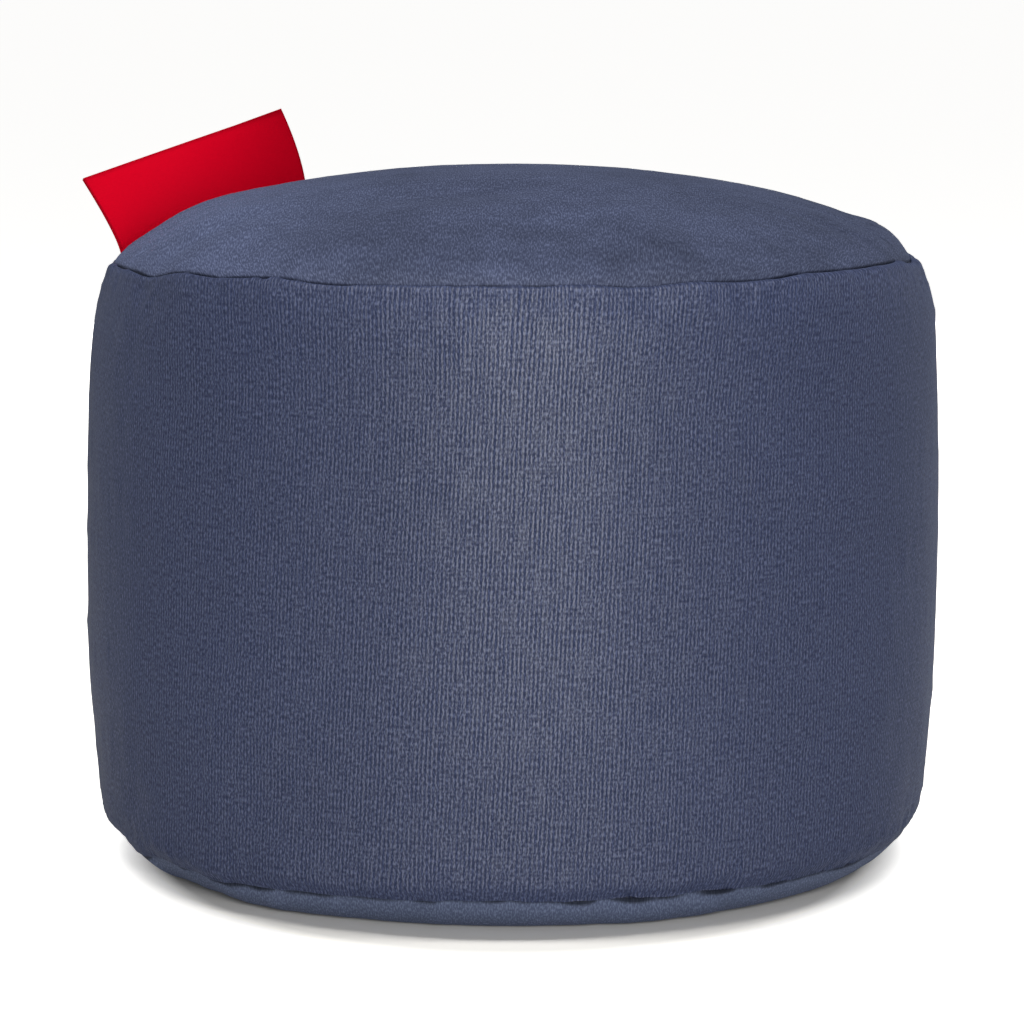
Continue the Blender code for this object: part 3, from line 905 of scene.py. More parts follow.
# Painted shade on the top panel's edge rings, darkest deep in the groove
TUCK_SEAM_SHADE = (1.0, 0.85, 0.35)
GATHER_REACH = 0.013
GATHER_WAVES, BASE_PANEL_WAVES = (70, 150), (24, 70)
BASE_BAND_GATHERS, BASE_PANEL_GATHERS = 1.3, 1.5
TOP_GATHER_SEED, BASE_GATHER_SEED, PULL_SEED_STEP = 11, 23, 7
BAND_RADIUS = 0.250
# The upright seam that joins the band's two ends at the back: angle, half width in degrees, depth
JOINT_ANGLE, JOINT_REACH, JOINT_DEPTH = 90.0, 0.8, 0.0018
# The joint's place as a share of a turn, and the painted shade in its groove
JOINT_TURN, JOINT_SEAM_SHADE = JOINT_ANGLE / 360.0, 0.8
# The filling's unevenness fades out over this radius in the middle of the top panel.
STILL_MIDDLE = 0.06
PULL_REACH = 0.028
PULL_WAVES = (14, 48)
# How far from the seam the ribs begin to fan out, and how much farther apart they are at the seam
RIB_FAN_TOP, RIB_FAN_BASE = (0.08, 0.08), (0.16, 0.05)
# The lip's width where its seam is shut, and how much it gains where the seam gapes
LIP_SHUT, LIP_GAPE = 0.35, 0.95
BASE_LIP_SHARE, BASE_LIP_DROP = 1.25, 0.0002
# How far the band's bed stays inside the base panel: at the foot, more at the seam, and lower there
BED_INSET, BED_INSET_AT_SEAM, BED_LOWER_AT_SEAM = 0.0012, 0.0012, 0.0006


def settings_of(context):
    return context.scene.footstool


def swell_of(drum):
    return swelling(drum.pressure, drum.ease, drum.swell_limit, drum.frames)


def gathers(angle, distance, seed, depth):
    """Small gathers beside a seam, gone after a few centimetres."""
    return depth * gather_wave(angle, seed, GATHER_WAVES) * np.exp(-distance / GATHER_REACH)


def dome_rings(drum):
    """The outer face of the top panel, from its tucked edge to its middle."""
    _, _, radii, swell = swell_of(drum)
    angle = angles_of(AROUND)
    seam = dome_height(1.0, angle)
    tucks = zip(TUCK_IN[::-1], TUCK_DOWN[::-1])
    rings = [ring(TOP_SEAM_RADIUS - aside, seam - down, angle) for aside, down in tucks]
    inner = np.arange(RIM_SHARES[-1] * TOP_SEAM_RADIUS - PANEL_STEP, PANEL_HUB, -PANEL_STEP)
    for share in (*RIM_SHARES, *(inner / TOP_SEAM_RADIUS)):
        radius = share * TOP_SEAM_RADIUS
        count = count_at(radius, AROUND)
        angle = angles_of(count)
        push = smooth_curve(radius, radii[::-1], swell[::-1])[:: AROUND // count]
        push = push * smooth_step(radius / STILL_MIDDLE)
        distance = (TOP_SEAM_RADIUS - radius) * RIM_SLOPE
        begun = 1.0 - math.exp(-distance / RIM_CLEAR)
        push = push + gathers(angle, distance, TOP_GATHER_SEED, drum.gather_depth) * begun
        rings.append(ring(radius, dome_height(share, angle) + push, angle))
    return rings


def matched(points, count):
    """A ring with count points, taken from a ring with as many, half or twice as many."""
    if len(points) >= count:
        return points[:: len(points) // count]
    wider = np.empty((count, 3))
    wider[::2] = points
    wider[1::2] = 0.5 * (points + np.roll(points, -1, axis=0))
    return wider


def moved_in(rings, depth):
    """Rings of a panel moved into the filling, along the surface's own slope."""
    result = []
    for index, points in enumerate(rings):
        turn = np.radians(angles_of(len(points)))
        beside = (rings[max(index - 1, 0)], rings[min(index + 1, len(rings) - 1)])
        before, after = (matched(other, len(points)) for other in beside)
        along = np.hypot(after[:, 0], after[:, 1]) - np.hypot(before[:, 0], before[:, 1])
        rise = after[:, 2] - before[:, 2]
        normal = np.stack([rise * np.cos(turn), rise * np.sin(turn), -along], axis=-1)
        length = np.maximum(np.hypot(along, rise), 1e-9)[:, None]
        result.append(points - normal / length * depth)
    return result


def profile_length(rings):
    """The distance along the first meridian, from the pole past the last ring back to each ring."""
    line = np.array([*(points[0] for points in rings), middle_of(rings[-1])])
    steps = np.linalg.norm(np.diff(line, axis=0), axis=1)
    return np.cumsum(steps[::-1])[::-1]


def disc_map(faces, turns, spread):
    """Flat places of a round panel's corners. spread is each point's distance from the middle."""
    places = []
    for face, turn in zip(faces, turns):
        for point, share in zip(face, turn):
            places.append((spread[point] * math.cos(TURN * share), spread[point] * math.sin(TURN * share)))
    return places


def lip_rings(radius, height, opening, room, width, drop, up):
    """The band's lip at a seam, from its crest down to the groove's foot. up is -1 at the base."""
    angle = angles_of(AROUND)
    reach = width * (LIP_SHUT + LIP_GAPE * opening)
    rings = []
    for out, down, label_out in zip(LIP_OUT, LIP_DOWN, LIP_LABEL_OUT):
        aside = (1.0 - room) * out * reach + room * label_out
        lowered = drop * opening * (1.0 - room) * max(0.0, 1.0 - down / LIP_DOWN[-2])
        rings.append(ring(radius + aside, height - up * (down + lowered), angle))
    return rings


def shoulder_rings(start, before, crest, up):
    """Rings that round the band over from its upright wall to the crest of its lip."""
    slope = (start - before) / np.linalg.norm(start - before, axis=1, keepdims=True)
    reach = np.abs(crest[:, 2] - start[:, 2])[:, None]
    bend = start + slope * reach * SHOULDER_REACH
    bend[:, 2] = crest[:, 2] + up * SHOULDER_PAST_CREST
    return [(1 - t) ** 2 * start + 2 * t * (1 - t) * bend + t**2 * crest for t in SHOULDER_ROWS]


def lip_crease(darkness, shut, opening):
    """How much painted shade the lip's rings get: clear at the crest, dark in the groove where the seam
    gapes.
    """
    return np.array(darkness)[:, None] * (shut + (1.0 - shut) * opening)[None, :]


def base_bed_rings():
    """The band's bed on the base panel, which is flat and climbs to the bottom seam."""
    rings = middle_rings(MIDDLE_RADII, CLOTH + GAP, AROUND)
    angle = angles_of(AROUND)
    lift = around(angle, BASE_SEAM_LINE)
    for share in (0.0, 0.2, 0.4, 0.6, 0.8):
        radius = FOOT_RADIUS + (BASE_SEAM_RADIUS - FOOT_RADIUS) * share
        height = base_climb(share, lift) + CLOTH + GAP - BED_LOWER_AT_SEAM * share
        rings.append(ring(radius - BED_INSET - BED_INSET_AT_SEAM * share, height, angle))
    return rings


def band_rings(drum):
    """The filled body, from the middle of its bed on the base to the middle of its crown."""
    heights, swell, _, _ = swell_of(drum)
    angle = angles_of(AROUND)
    top_open = seam_opening(angle, TOP_SEAM_GAPS)
    base_open = seam_opening(angle, BASE_SEAM_GAPS)
    joint = np.clip(1.0 - np.abs(turn_from(angle, JOINT_ANGLE)) / JOINT_REACH, 0.0, 1.0)
    base_depth = drum.gather_depth * BASE_BAND_GATHERS
    wall = []
    for height in wall_heights(WALL_ROWS):
        radius, rise = wall_ring(height, angle)
        push = smooth_curve(height, heights, swell)
        push = push + gathers(angle, WALL_HIGH - height, TOP_GATHER_SEED + 1, drum.gather_depth)
        push = push + gathers(angle, height - WALL_LOW, BASE_GATHER_SEED, base_depth)
        wall.append(ring(radius + push - JOINT_DEPTH * joint, rise, angle))
    base_seam = BASE_SEAM_HEIGHT + around(angle, BASE_SEAM_LINE)
    top_seam = dome_height(1.0, angle)
    width, base_width = drum.lip_width, drum.lip_width * BASE_LIP_SHARE
    base_lip = lip_rings(BASE_SEAM_RADIUS, base_seam, base_open, 0.0, base_width, BASE_LIP_DROP, -1.0)
    top_lip = lip_rings(TOP_SEAM_RADIUS, top_seam, top_open, label_room(angle), width, TOP_GAP_DROP, 1.0)
    base_shoulder = shoulder_rings(wall[0], wall[1], base_lip[0], -1.0)
    top_shoulder = shoulder_rings(wall[-1], wall[-2], top_lip[0], 1.0)
    # Every second ring is enough under the top panel.
    top_bed = moved_in(dome_rings(drum), CLOTH + GAP)[len(TUCK_IN) + 2 :: 2]
    base_bed = base_bed_rings()
    rings = [*base_bed, *base_lip[::-1], *base_shoulder[::-1], *wall, *top_shoulder, *top_lip, *top_bed]
    # Painted shade: full under the panels, towards the grooves on the lips and the base shoulder, along the
    # back joint, none on the top shoulder
    crease = (
        np.ones(sum(len(points) for points in base_bed)),
        lip_crease(BASE_LIP_DARKNESS, BASE_SHUT, base_open)[::-1].ravel(),
        lip_crease(BASE_SHOULDER_DARKNESS, BASE_SHUT, base_open)[::-1].ravel(),
        np.tile(JOINT_SEAM_SHADE * joint, len(wall)),
        np.zeros(AROUND * len(top_shoulder)),
        lip_crease(TOP_LIP_DARKNESS, TOP_SHUT, top_open).ravel(),
        np.ones(sum(len(points) for points in top_bed) + 2),
    )
    return rings, np.concatenate(crease)


def band_map(faces, turns, points, cloth):
    """Flat places of the band's corners, joined at the back. The ribs lean, and fan out to the two seams."""
    length = round(TURN * BAND_RADIUS / cloth.rib_pitch) * cloth.rib_pitch
    angle = np.degrees(np.arctan2(points[:, 1], points[:, 0]))
    height = points[:, 2]
    shift = cloth.rib_lean * (TOP_SEAM_HEIGHT - height)
    for level, seed in ((TOP_SEAM_HEIGHT, TOP_GATHER_SEED), (BASE_SEAM_HEIGHT, BASE_GATHER_SEED)):
        fade = np.exp(-np.abs(height - level) / PULL_REACH)
        shift += cloth.seam_pull * gather_wave(angle, seed + PULL_SEED_STEP, PULL_WAVES) * fade
    top = np.clip((height - TOP_SEAM_HEIGHT) / RIB_FAN_TOP[0] + 1.0, 0.0, 1.0)
    base = np.clip((BASE_SEAM_HEIGHT - height) / RIB_FAN_BASE[0] + 1.0, 0.0, 1.0)
    fan = length * (1.0 - RIB_FAN_TOP[1] * top**2 - RIB_FAN_BASE[1] * base**2)
    places = []
    for face, turn in zip(faces, turns):
        lap = math.floor(sum(turn) / len(turn) + 1.0 - JOINT_TURN)
        for point, share in zip(face, turn):
            places.append(((share + 0.5 - JOINT_TURN - lap) * fan[point] + shift[point], height[point]))
    return places


def finish_piece(thing, slot, *nodes):
    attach(thing, BODY)
    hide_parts(*nodes)


def finish_disc(panel, node):
    """Attach a round panel, a disc of cloth held on the band, to the body and hide its solid."""
    finish_piece(panel, "panel_cloth", node)


class FOOTSTOOL_OT_side_band(bpy.types.Operator):
    """Fill the sewn skin and make the side band with its two lips"""

    bl_idname = "footstool.side_band"
    bl_label = "Side band"
    bl_options = {"REGISTER", "UNDO"}

    def execute(self, context):
        settings = settings_of(context)
        rings, crease = band_rings(settings.drum)
        faces, turns = ring_faces(rings)
        points = ring_points(rings, (0.0, 0.0, CLOTH + GAP), middle_of(rings[-1]))
        mesh = new_mesh("band_cloth", points, faces)
        add_corner_map(mesh, band_map(faces, turns, points, settings.cloth))
        add_point_values(mesh, crease=crease)
        mesh.materials.append(band_material(settings.cloth))
        band = new_object("band_cloth", mesh)
        finish_piece(band, "band_cloth", "side_band")
        return {"FINISHED"}


class FOOTSTOOL_OT_top_panel(bpy.types.Operator):
    """Make the round top panel, pushed up into a low dome"""

    bl_idname = "footstool.top_panel"
    bl_label = "Top panel"
    bl_options = {"REGISTER", "UNDO"}

    def execute(self, context):
        settings = settings_of(context)
        outer = dome_rings(settings.drum)
        inner = moved_in(outer, CLOTH)
        rings = [*inner[::-1], *outer]
        faces, turns = ring_faces(rings)
        mesh = new_mesh("top_cloth", ring_points(rings, middle_of(inner[-1]), middle_of(outer[-1])), faces)
        spread = profile_length(outer)
        lengths = [np.full(len(points), far) for points, far in zip(rings, [*spread[::-1], *spread])]
        add_corner_map(mesh, disc_map(faces, turns, np.concatenate([*lengths, [0.0, 0.0]])))
        opening = seam_opening(angles_of(AROUND), TOP_SEAM_GAPS)
        # Painted shade on the tucked edge, darker where the seam gapes
        edge = lip_crease(TUCK_SEAM_SHADE, TOP_SHUT, opening).ravel()
        crease = np.zeros(len(mesh.vertices))
        crease[sum(len(points) for points in inner) :][: len(edge)] = edge
        add_point_values(mesh, crease=crease)
        mesh.materials.append(panel_material(settings.cloth))
        finish_disc(new_object("top_cloth", mesh), "top_panel")
        return {"FINISHED"}


def run_tree(thing, tree, values):
    """Turn an object into what a tree makes of it. The tree's inputs are set by identifier."""
    modifier = thing.modifiers.new(tree.name, "NODES")
    modifier.node_group = tree
    for item in tree.interface.items_tree:
        if item.in_out == "INPUT" and item.name in values:
            modifier[item.identifier] = values[item.name]
    graph = bpy.context.evaluated_depsgraph_get()
    shown = thing.evaluated_get(graph)
    mesh = bpy.data.meshes.new_from_object(shown, preserve_all_data_layers=True, depsgraph=graph)
    thing.modifiers.remove(modifier)
    old = thing.data
    thing.data = mesh
    mesh.name = thing.name
    bpy.data.meshes.remove(old)
    mesh.shade_smooth()


# The base panel's rim bulges outwards and down, at right angles to its climb.
BULGE_OUT, BULGE_DOWN = 0.59, 0.81
WELD_DISTANCE = 0.00001
# Rings of the base panel past its flat middle: one at the foot's side, and those of the climb
BASE_FOOT_RING, BASE_CLIMB_ROWS = 0.200, 15
BASE_TUCK_OUT = 0.00005
# Painted shade in the rim's crease: how far it reaches in, and how dark it is where the seam is shut
BASE_SEAM_SHADE_REACH, BASE_SEAM_SHADE_SHUT = 0.0022, 0.6


def base_tree():
    """A flat disc of cloth lies on the floor, climbs to the bottom seam and gets its thickness."""
    inputs = {
        "Geometry": None,
        "Foot Radius": FOOT_RADIUS,
        "Seam Radius": BASE_SEAM_RADIUS,
        "Seam Height": BASE_SEAM_HEIGHT,
        "Climb": BASE_CLIMB,
        "Bulge": 0.0018,
        "Cloth": CLOTH,
        "Material": None,
    }
    graph, given = new_tree("Base panel", "GeometryNodeTree", inputs, ("Geometry",))
    lift, tuck, fold, puff = (graph.named_value(name) for name in ("lift", "tuck", "fold", "puff"))
    place = graph.get("GeometryNodeInputPosition")
    x, y, _ = graph.split(place)
    radius = graph.math("SQRT", x * x + y * y)
    span = given["Seam Radius"] - given["Foot Radius"]
    share = graph.math("DIVIDE", radius - given["Foot Radius"], span, clamp=True)
    height = (given["Seam Height"] + lift) * share ** given["Climb"] + tuck + fold * share
    bulge = graph.math("SINE", share * math.pi) * given["Bulge"] * puff
    outward = graph.scaled(graph.vector("NORMALIZE", place), bulge * BULGE_OUT)
    offset = graph.vector("ADD", outward, graph.point(z=height - bulge * BULGE_DOWN))
    moved = graph.get("GeometryNodeSetPosition", {"Geometry": given["Geometry"], "Offset": offset})
    grown = {"Mesh": moved, "Offset Scale": given["Cloth"], "Individual": False}
    thick = graph.get("GeometryNodeExtrudeMesh", grown, "Mesh", mode="FACES")
    both = graph.add("GeometryNodeJoinGeometry", {0: thick})
    graph.fill(both, {0: graph.get("GeometryNodeFlipFaces", {0: moved})})
    joined = {"Geometry": graph.outputs(both)[0], "Distance": WELD_DISTANCE}
    return graph.finish(graph.get("GeometryNodeMergeByDistance", joined), given["Material"])


class FOOTSTOOL_OT_base_panel(bpy.types.Operator):
    """Make the round base panel, flat on the floor and turned up at its rim"""

    bl_idname = "footstool.base_panel"
    bl_label = "Base panel"
    bl_options = {"REGISTER", "UNDO"}

    def execute(self, context):
        settings = settings_of(context)
        drum = settings.drum
        # A flat disc, from its tucked edge to its middle. Its faces look up, so it thickens into the filling.
        climb = np.linspace(FOOT_RADIUS, BASE_SEAM_RADIUS, BASE_CLIMB_ROWS)
        edge = [BASE_SEAM_RADIUS + BASE_TUCK_OUT] * len(TUCK_DOWN)
        rings = middle_rings((*MIDDLE_RADII, BASE_FOOT_RING, *climb, *edge), 0.0, AROUND)[::-1]
        faces, turns = ring_faces(rings, low_pole=False)
        points = ring_points(rings, (0.0, 0.0, 0.0))
        mesh = new_mesh("base_cloth", points, faces)
        spread = np.hypot(points[:, 0], points[:, 1])
        add_corner_map(mesh, disc_map(faces, turns, spread))
        turn = np.degrees(np.arctan2(points[:, 1], points[:, 0]))
        opening = seam_opening(turn, BASE_SEAM_GAPS)
        tuck = np.zeros(len(points))
        tuck[: AROUND * len(TUCK_DOWN)] = np.repeat(TUCK_DOWN[::-1], AROUND)
        puffs = (smooth_step(1.0 - np.abs(turn_from(turn, angle)) / reach) for angle, reach in BASE_PUFFS)
        # Painted shade in the groove at the rim, darker where the seam gapes
        groove = smooth_step((spread - BASE_SEAM_RADIUS) / BASE_SEAM_SHADE_REACH + 1.0)
        gather = gather_wave(turn, BASE_GATHER_SEED + 1, BASE_PANEL_WAVES)
        add_point_values(
            mesh,
            lift=around(turn, BASE_SEAM_LINE) - BASE_GAP_DROP * opening,
            tuck=tuck,
            fold=gather * drum.gather_depth * BASE_PANEL_GATHERS,
            puff=1.0 + sum(puffs),
            crease=groove * (BASE_SEAM_SHADE_SHUT + (1.0 - BASE_SEAM_SHADE_SHUT) * opening),
        )
        panel = new_object("base_cloth", mesh)
        run_tree(panel, base_tree(), {"Bulge": drum.base_bulge, "Material": base_material(settings.cloth)})
        finish_disc(panel, "base_panel")
        return {"FINISHED"}


LABEL_EDGE = 0.0024
LABEL_SHARP = math.radians(50)


def label_middle():
    """The label's middle surface: rows from the seam up, each from its left to its right end."""
    angle = np.linspace(*LABEL_ANGLES, LABEL_COLUMNS)
    depth = GROOVE_DEPTH - 2.0 * GAP
    foot_height = TOP_SEAM_HEIGHT + around(angle, TOP_SEAM_LINE) - depth
    foot = ring(TOP_SEAM_RADIUS + 0.5 * GROOVE_WIDTH, foot_height, angle)
    share = np.linspace(0.0, 1.0, LABEL_COLUMNS)[:, None]
    left, right, bulge = np.array(LABEL_TOP_LEFT), np.array(LABEL_TOP_RIGHT), np.array(LABEL_TOP_BULGE)
    top = left + (right - left) * share + bulge * 4.0 * share * (1.0 - share)
    left_rise, right_rise = np.array(LABEL_LEFT_RISE), np.array(LABEL_RIGHT_RISE)
    control = foot + left_rise + (right_rise - left_rise) * share
    up = np.linspace(0.0, 1.0, LABEL_ROWS)[:, None, None]
    return (1.0 - up) ** 2 * foot + 2.0 * up * (1.0 - up) * control + up**2 * top


def unit(vectors):
    return vectors / np.linalg.norm(vectors, axis=-1, keepdims=True)


class FOOTSTOOL_OT_label(bpy.types.Operator):
    """Make the bare label that stands in the top seam"""

    bl_idname = "footstool.label"
    bl_label = "Label"
    bl_options = {"REGISTER", "UNDO"}

    def execute(self, context):
        settings = settings_of(context)
        middle = label_middle()
        normals = unit(np.cross(np.gradient(middle, axis=1), np.gradient(middle, axis=0)))
        # The foot stands upright in the seam, so that it clears both sides of the groove.
        normals[0, :, 2] = 0.0
        normals[0] = unit(normals[0])
        half = 0.5 * settings.label.thickness
        points = np.stack([middle + normals * half, middle - normals * half]).reshape(-1, 3)
        grid = np.arange(LABEL_ROWS * LABEL_COLUMNS).reshape(LABEL_ROWS, LABEL_COLUMNS)
        front = np.stack([grid[:-1, :-1], grid[:-1, 1:], grid[1:, 1:], grid[1:, :-1]], axis=-1).reshape(-1, 4)
        edge = np.concatenate([grid[0], grid[1:, -1], grid[-1, -2::-1], grid[-2:0:-1, 0]])
        after = np.roll(edge, -1)
        side = np.stack([after, edge, grid.size + edge, grid.size + after], axis=-1)
        faces = np.concatenate([front, grid.size + front[:, ::-1], side])
        mesh = new_mesh("label_tape", points, faces.tolist())
        mesh.set_sharp_from_angle(angle=LABEL_SHARP)
        width, height = LABEL_CUT
        flat = np.meshgrid(np.linspace(0.0, width, LABEL_COLUMNS), np.linspace(0.0, height, LABEL_ROWS))
        flat = np.tile(np.stack(flat, axis=-1).reshape(-1, 2), (2, 1))
        add_corner_map(mesh, flat[faces])
        rim = np.minimum.reduce([flat[:, 0], width - flat[:, 0], height - flat[:, 1]])
        add_point_values(mesh, edge=smooth_step(1.0 - rim / LABEL_EDGE))
        mesh.materials.append(label_material(settings.label))
        label = new_object("label_tape", mesh)
        finish_piece(label, "label_cloth", "label")
        return {"FINISHED"}


# A stitch: half its length as a share of the pitch, its points along and its sides around
STITCH_HALF, STITCH_POINTS, STITCH_SIDES = 0.40, 5, 6
# Beside the label the stitches lie this much deeper.
LABEL_STITCH_DEPTH = 0.0006


def stitch_tree():
    """One slim strand at each even step of a seam's line, turned along it."""
    inputs = {"Geometry": None, "Stitch Pitch": 0.0034, "Thread": 0.0005, "Slant": 0.18, "Material": None}
    graph, given = new_tree("Seam stitches", "GeometryNodeTree", inputs, ("Geometry",))
    pitch, thread = given["Stitch Pitch"], given["Thread"]
    curve = graph.get("GeometryNodeMeshToCurve", {0: given["Geometry"]})
    steps = graph.add("GeometryNodeCurveToPoints", {"Curve": curve, "Length": pitch}, mode="LENGTH")
    ends = {"Start": graph.point(z=pitch * -STITCH_HALF), "End": graph.point(z=pitch * STITCH_HALF)}
    line = graph.get("GeometryNodeCurvePrimitiveLine", ends)
    fine = graph.get("GeometryNodeResampleCurve", {"Curve": line, "Count": STITCH_POINTS})
    # The strand dips into the cloth at both ends.
    share = graph.get("GeometryNodeSplineParameter", None, "Factor")
    dip = graph.point((share * (1.0 - share) * 4.0 - 1.0) * thread)
    bow = graph.get("GeometryNodeSetPosition", {"Geometry": fine, "Offset": dip})
    section = {"Resolution": STITCH_SIDES, "Radius": thread * 0.5}
    section = graph.get("GeometryNodeCurvePrimitiveCircle", section)
    tube = {"Curve": bow, "Profile Curve": section, "Fill Caps": True}
    strand = graph.get("GeometryNodeCurveToMesh", tube)
    slant = graph.get("FunctionNodeEulerToRotation", {0: graph.point(given["Slant"])})
    turns = {0: Number(graph, steps.outputs["Rotation"]), 1: slant}
    turned = graph.get("FunctionNodeRotateRotation", turns, rotation_space="LOCAL")
    laid = {"Points": Number(graph, steps.outputs["Points"]), "Instance": strand, "Rotation": turned}
    return graph.finish(graph.get("GeometryNodeInstanceOnPoints", laid), given["Material"])


class FOOTSTOOL_OT_seam_stitches(bpy.types.Operator):
    """Lay the stitches into the grooves of both seams"""

    bl_idname = "footstool.seam_stitches"
    bl_label = "Seam stitches"
    bl_options = {"REGISTER", "UNDO"}

    def execute(self, context):
        stitching = settings_of(context).stitching
        tree = stitch_tree()
        values = {
            "Stitch Pitch": stitching.pitch,
            "Thread": stitching.thread,
            "Slant": stitching.slant,
            "Material": thread_material(stitching),
        }
        angle = angles_of(AROUND)
        base_seam = BASE_SEAM_HEIGHT + around(angle, BASE_SEAM_LINE)
        line = [(here, (here + 1) % AROUND) for here in range(AROUND)]
        for name, radius, height, up, room in (
            ("top_seam_stitches", TOP_SEAM_RADIUS, dome_height(1.0, angle), 1.0, label_room(angle)),
            ("base_seam_stitches", BASE_SEAM_RADIUS, base_seam, -1.0, 0.0),
        ):
            depth = stitching.depth + room * LABEL_STITCH_DEPTH
            points = ring(radius + stitching.inset * (1.0 - room), height - up * depth, angle)
            thing = new_object(name, new_mesh(name, points, [], line))
            run_tree(thing, tree, values)
            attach(thing, BODY)
        return {"FINISHED"}


# ---------------------------------------------------------------- the stage


WHITE = (1.0, 1.0, 1.0, 1.0)
FLOOR_RADII, FLOOR_AROUND = (40.0, 3.0), 90
SENSOR = 36.0
FAR_CLIP = 120.0
PHOTO_WIDTH = 1024
DRUM_MIDDLE = (0.0, 0.0, 0.2)
# The floor burns out between these distances, measured with y shortened.
GLOW_START, GLOW_END = 0.207, 0.236
GLOW_SHAPE = (1.0, 0.79, 1.0)
OVERHEAD_Y, OVERHEAD_HEIGHT, OVERHEAD_SIZE = -0.36, 2.2, (2.6, 0.25)
LIGHT_DISTANCE = 3.0
# Lights aimed at the drum: name, azimuth, height in degrees, size, the setting of its power, share of that
LIGHTS = (
    ("front_strip", 6.0, 12.0, (0.45, 1.6), "front_power", 1.0),
    ("edge_panel_right", 125.0, 15.0, (0.6, 1.6), "edge_power", 1.0),
    ("edge_panel_left", -125.0, 15.0, (0.6, 1.6), "edge_power", 0.8),
    ("back_panel", 180.0, 0.5, (1.2, 0.3), "back_power", 1.0),
)


def around_drum(azimuth, height, distance):
    """A place around the drum. azimuth runs from the front to the right, both angles in degrees."""
    azimuth, height = math.radians(azimuth), math.radians(height)
    outward = (math.cos(height) * math.sin(azimuth), -math.cos(height) * math.cos(azimuth), math.sin(height))
    return Vector(DRUM_MIDDLE) + Vector(outward) * distance


def add_area_light(name, place, aim, size, power):
    data = bpy.data.lights.new(name, "AREA")
    data.shape = "RECTANGLE"
    data.size, data.size_y = size
    data.energy = power
    light = new_object(name, data)
    light.location = place
    light.rotation_euler = (Vector(aim) - Vector(place)).to_track_quat("-Z", "Y").to_euler()
    light.visible_camera = False


class FOOTSTOOL_OT_stage(bpy.types.Operator):
    """Set up the pale floor, the soft studio light and the camera"""

    bl_idname = "footstool.stage"
    bl_label = "Stage"
    bl_options = {"REGISTER", "UNDO"}

    def execute(self, context):
        stage = settings_of(context).stage
        scene = context.scene
        rings = [ring(radius, 0.0, angles_of(FLOOR_AROUND)) for radius in FLOOR_RADII]
        faces, _ = ring_faces(rings, low_pole=False)
        floor = new_object("floor", new_mesh("floor", ring_points(rings, (0.0, 0.0, 0.0)), faces))
        floor.data.materials.append(floor_material(stage))

        camera = new_object("camera", bpy.data.cameras.new("camera"))
        camera.data.sensor_width = SENSOR
        camera.data.lens = stage.focal_pixels * SENSOR / PHOTO_WIDTH
        camera.data.clip_end = FAR_CLIP
        camera.location = (0.0, -stage.camera_distance, stage.camera_height)
        camera.rotation_euler = (0.5 * math.pi - stage.camera_tilt, 0.0, 0.0)
        scene.camera = camera

        world = bpy.data.worlds.new("studio")
        world.use_nodes = True
        sky = world.node_tree.nodes["Background"]
        sky.inputs["Color"].default_value = WHITE
        sky.inputs["Strength"].default_value = stage.ambient
        scene.world = world
        scene.view_settings.view_transform = "Standard"
        scene.view_settings.look = "None"

        above, below = (0.0, OVERHEAD_Y, OVERHEAD_HEIGHT), (0.0, OVERHEAD_Y, 0.0)
        add_area_light("overhead", above, below, OVERHEAD_SIZE, stage.overhead_power)
        for name, azimuth, height, size, power, share in LIGHTS:
            place = around_drum(azimuth, height, LIGHT_DISTANCE)
            add_area_light(name, place, DRUM_MIDDLE, size, share * getattr(stage, power))
        return {"FINISHED"}


# ---------------------------------------------------------------- settings and panel


def number(name, description, default, least=0.0, **more):
    return FloatProperty(name=name, description=description, default=default, min=least, **more)


def length(name, description, default):
    return number(name, description, default, unit="LENGTH", precision=5)


def power(name, description, default):
    return number(name, description, default, unit="POWER")


def factor(name, description, default):
    return number(name, description, default, max=1.0, subtype="FACTOR")


def angle_of(name, description, default):
    return number(name, description, default, -math.pi, subtype="ANGLE", unit="ROTATION")


def vector(name, description, default, subtype, **more):
    settings = {"default": default, "size": len(default), "min": 0.0, "subtype": subtype, **more}
    return FloatVectorProperty(name=name, description=description, **settings)


def colour(name, description, default):
    return vector(name, description, default, "COLOR", max=1.0)


class FOOTSTOOL_PG_drum(bpy.types.PropertyGroup):
    pressure: number("Filling pressure", "Push of the beads on the cloth", 4.0)
    ease: number("Cloth ease", "Share by which the cloth is cut larger than its seams", 0.02)
    swell_limit: length("Most swelling", "How far the filling may move the cloth", 0.0045)
    frames: IntProperty(name="Filling steps", description="Steps of the cloth simulation", default=20, min=1)
    fill: factor("Fill", "From 0, slack, to 1, tight", 0.85)
    gather_depth: length("Gather depth", "Depth of the small gathers beside the seams", 0.00035)
    lip_width: length("Lip width", "How far the band's lip stands off a seam", 0.0015)
    base_bulge: length("Base bulge", "How far the rim of the base panel bulges", 0.0018)


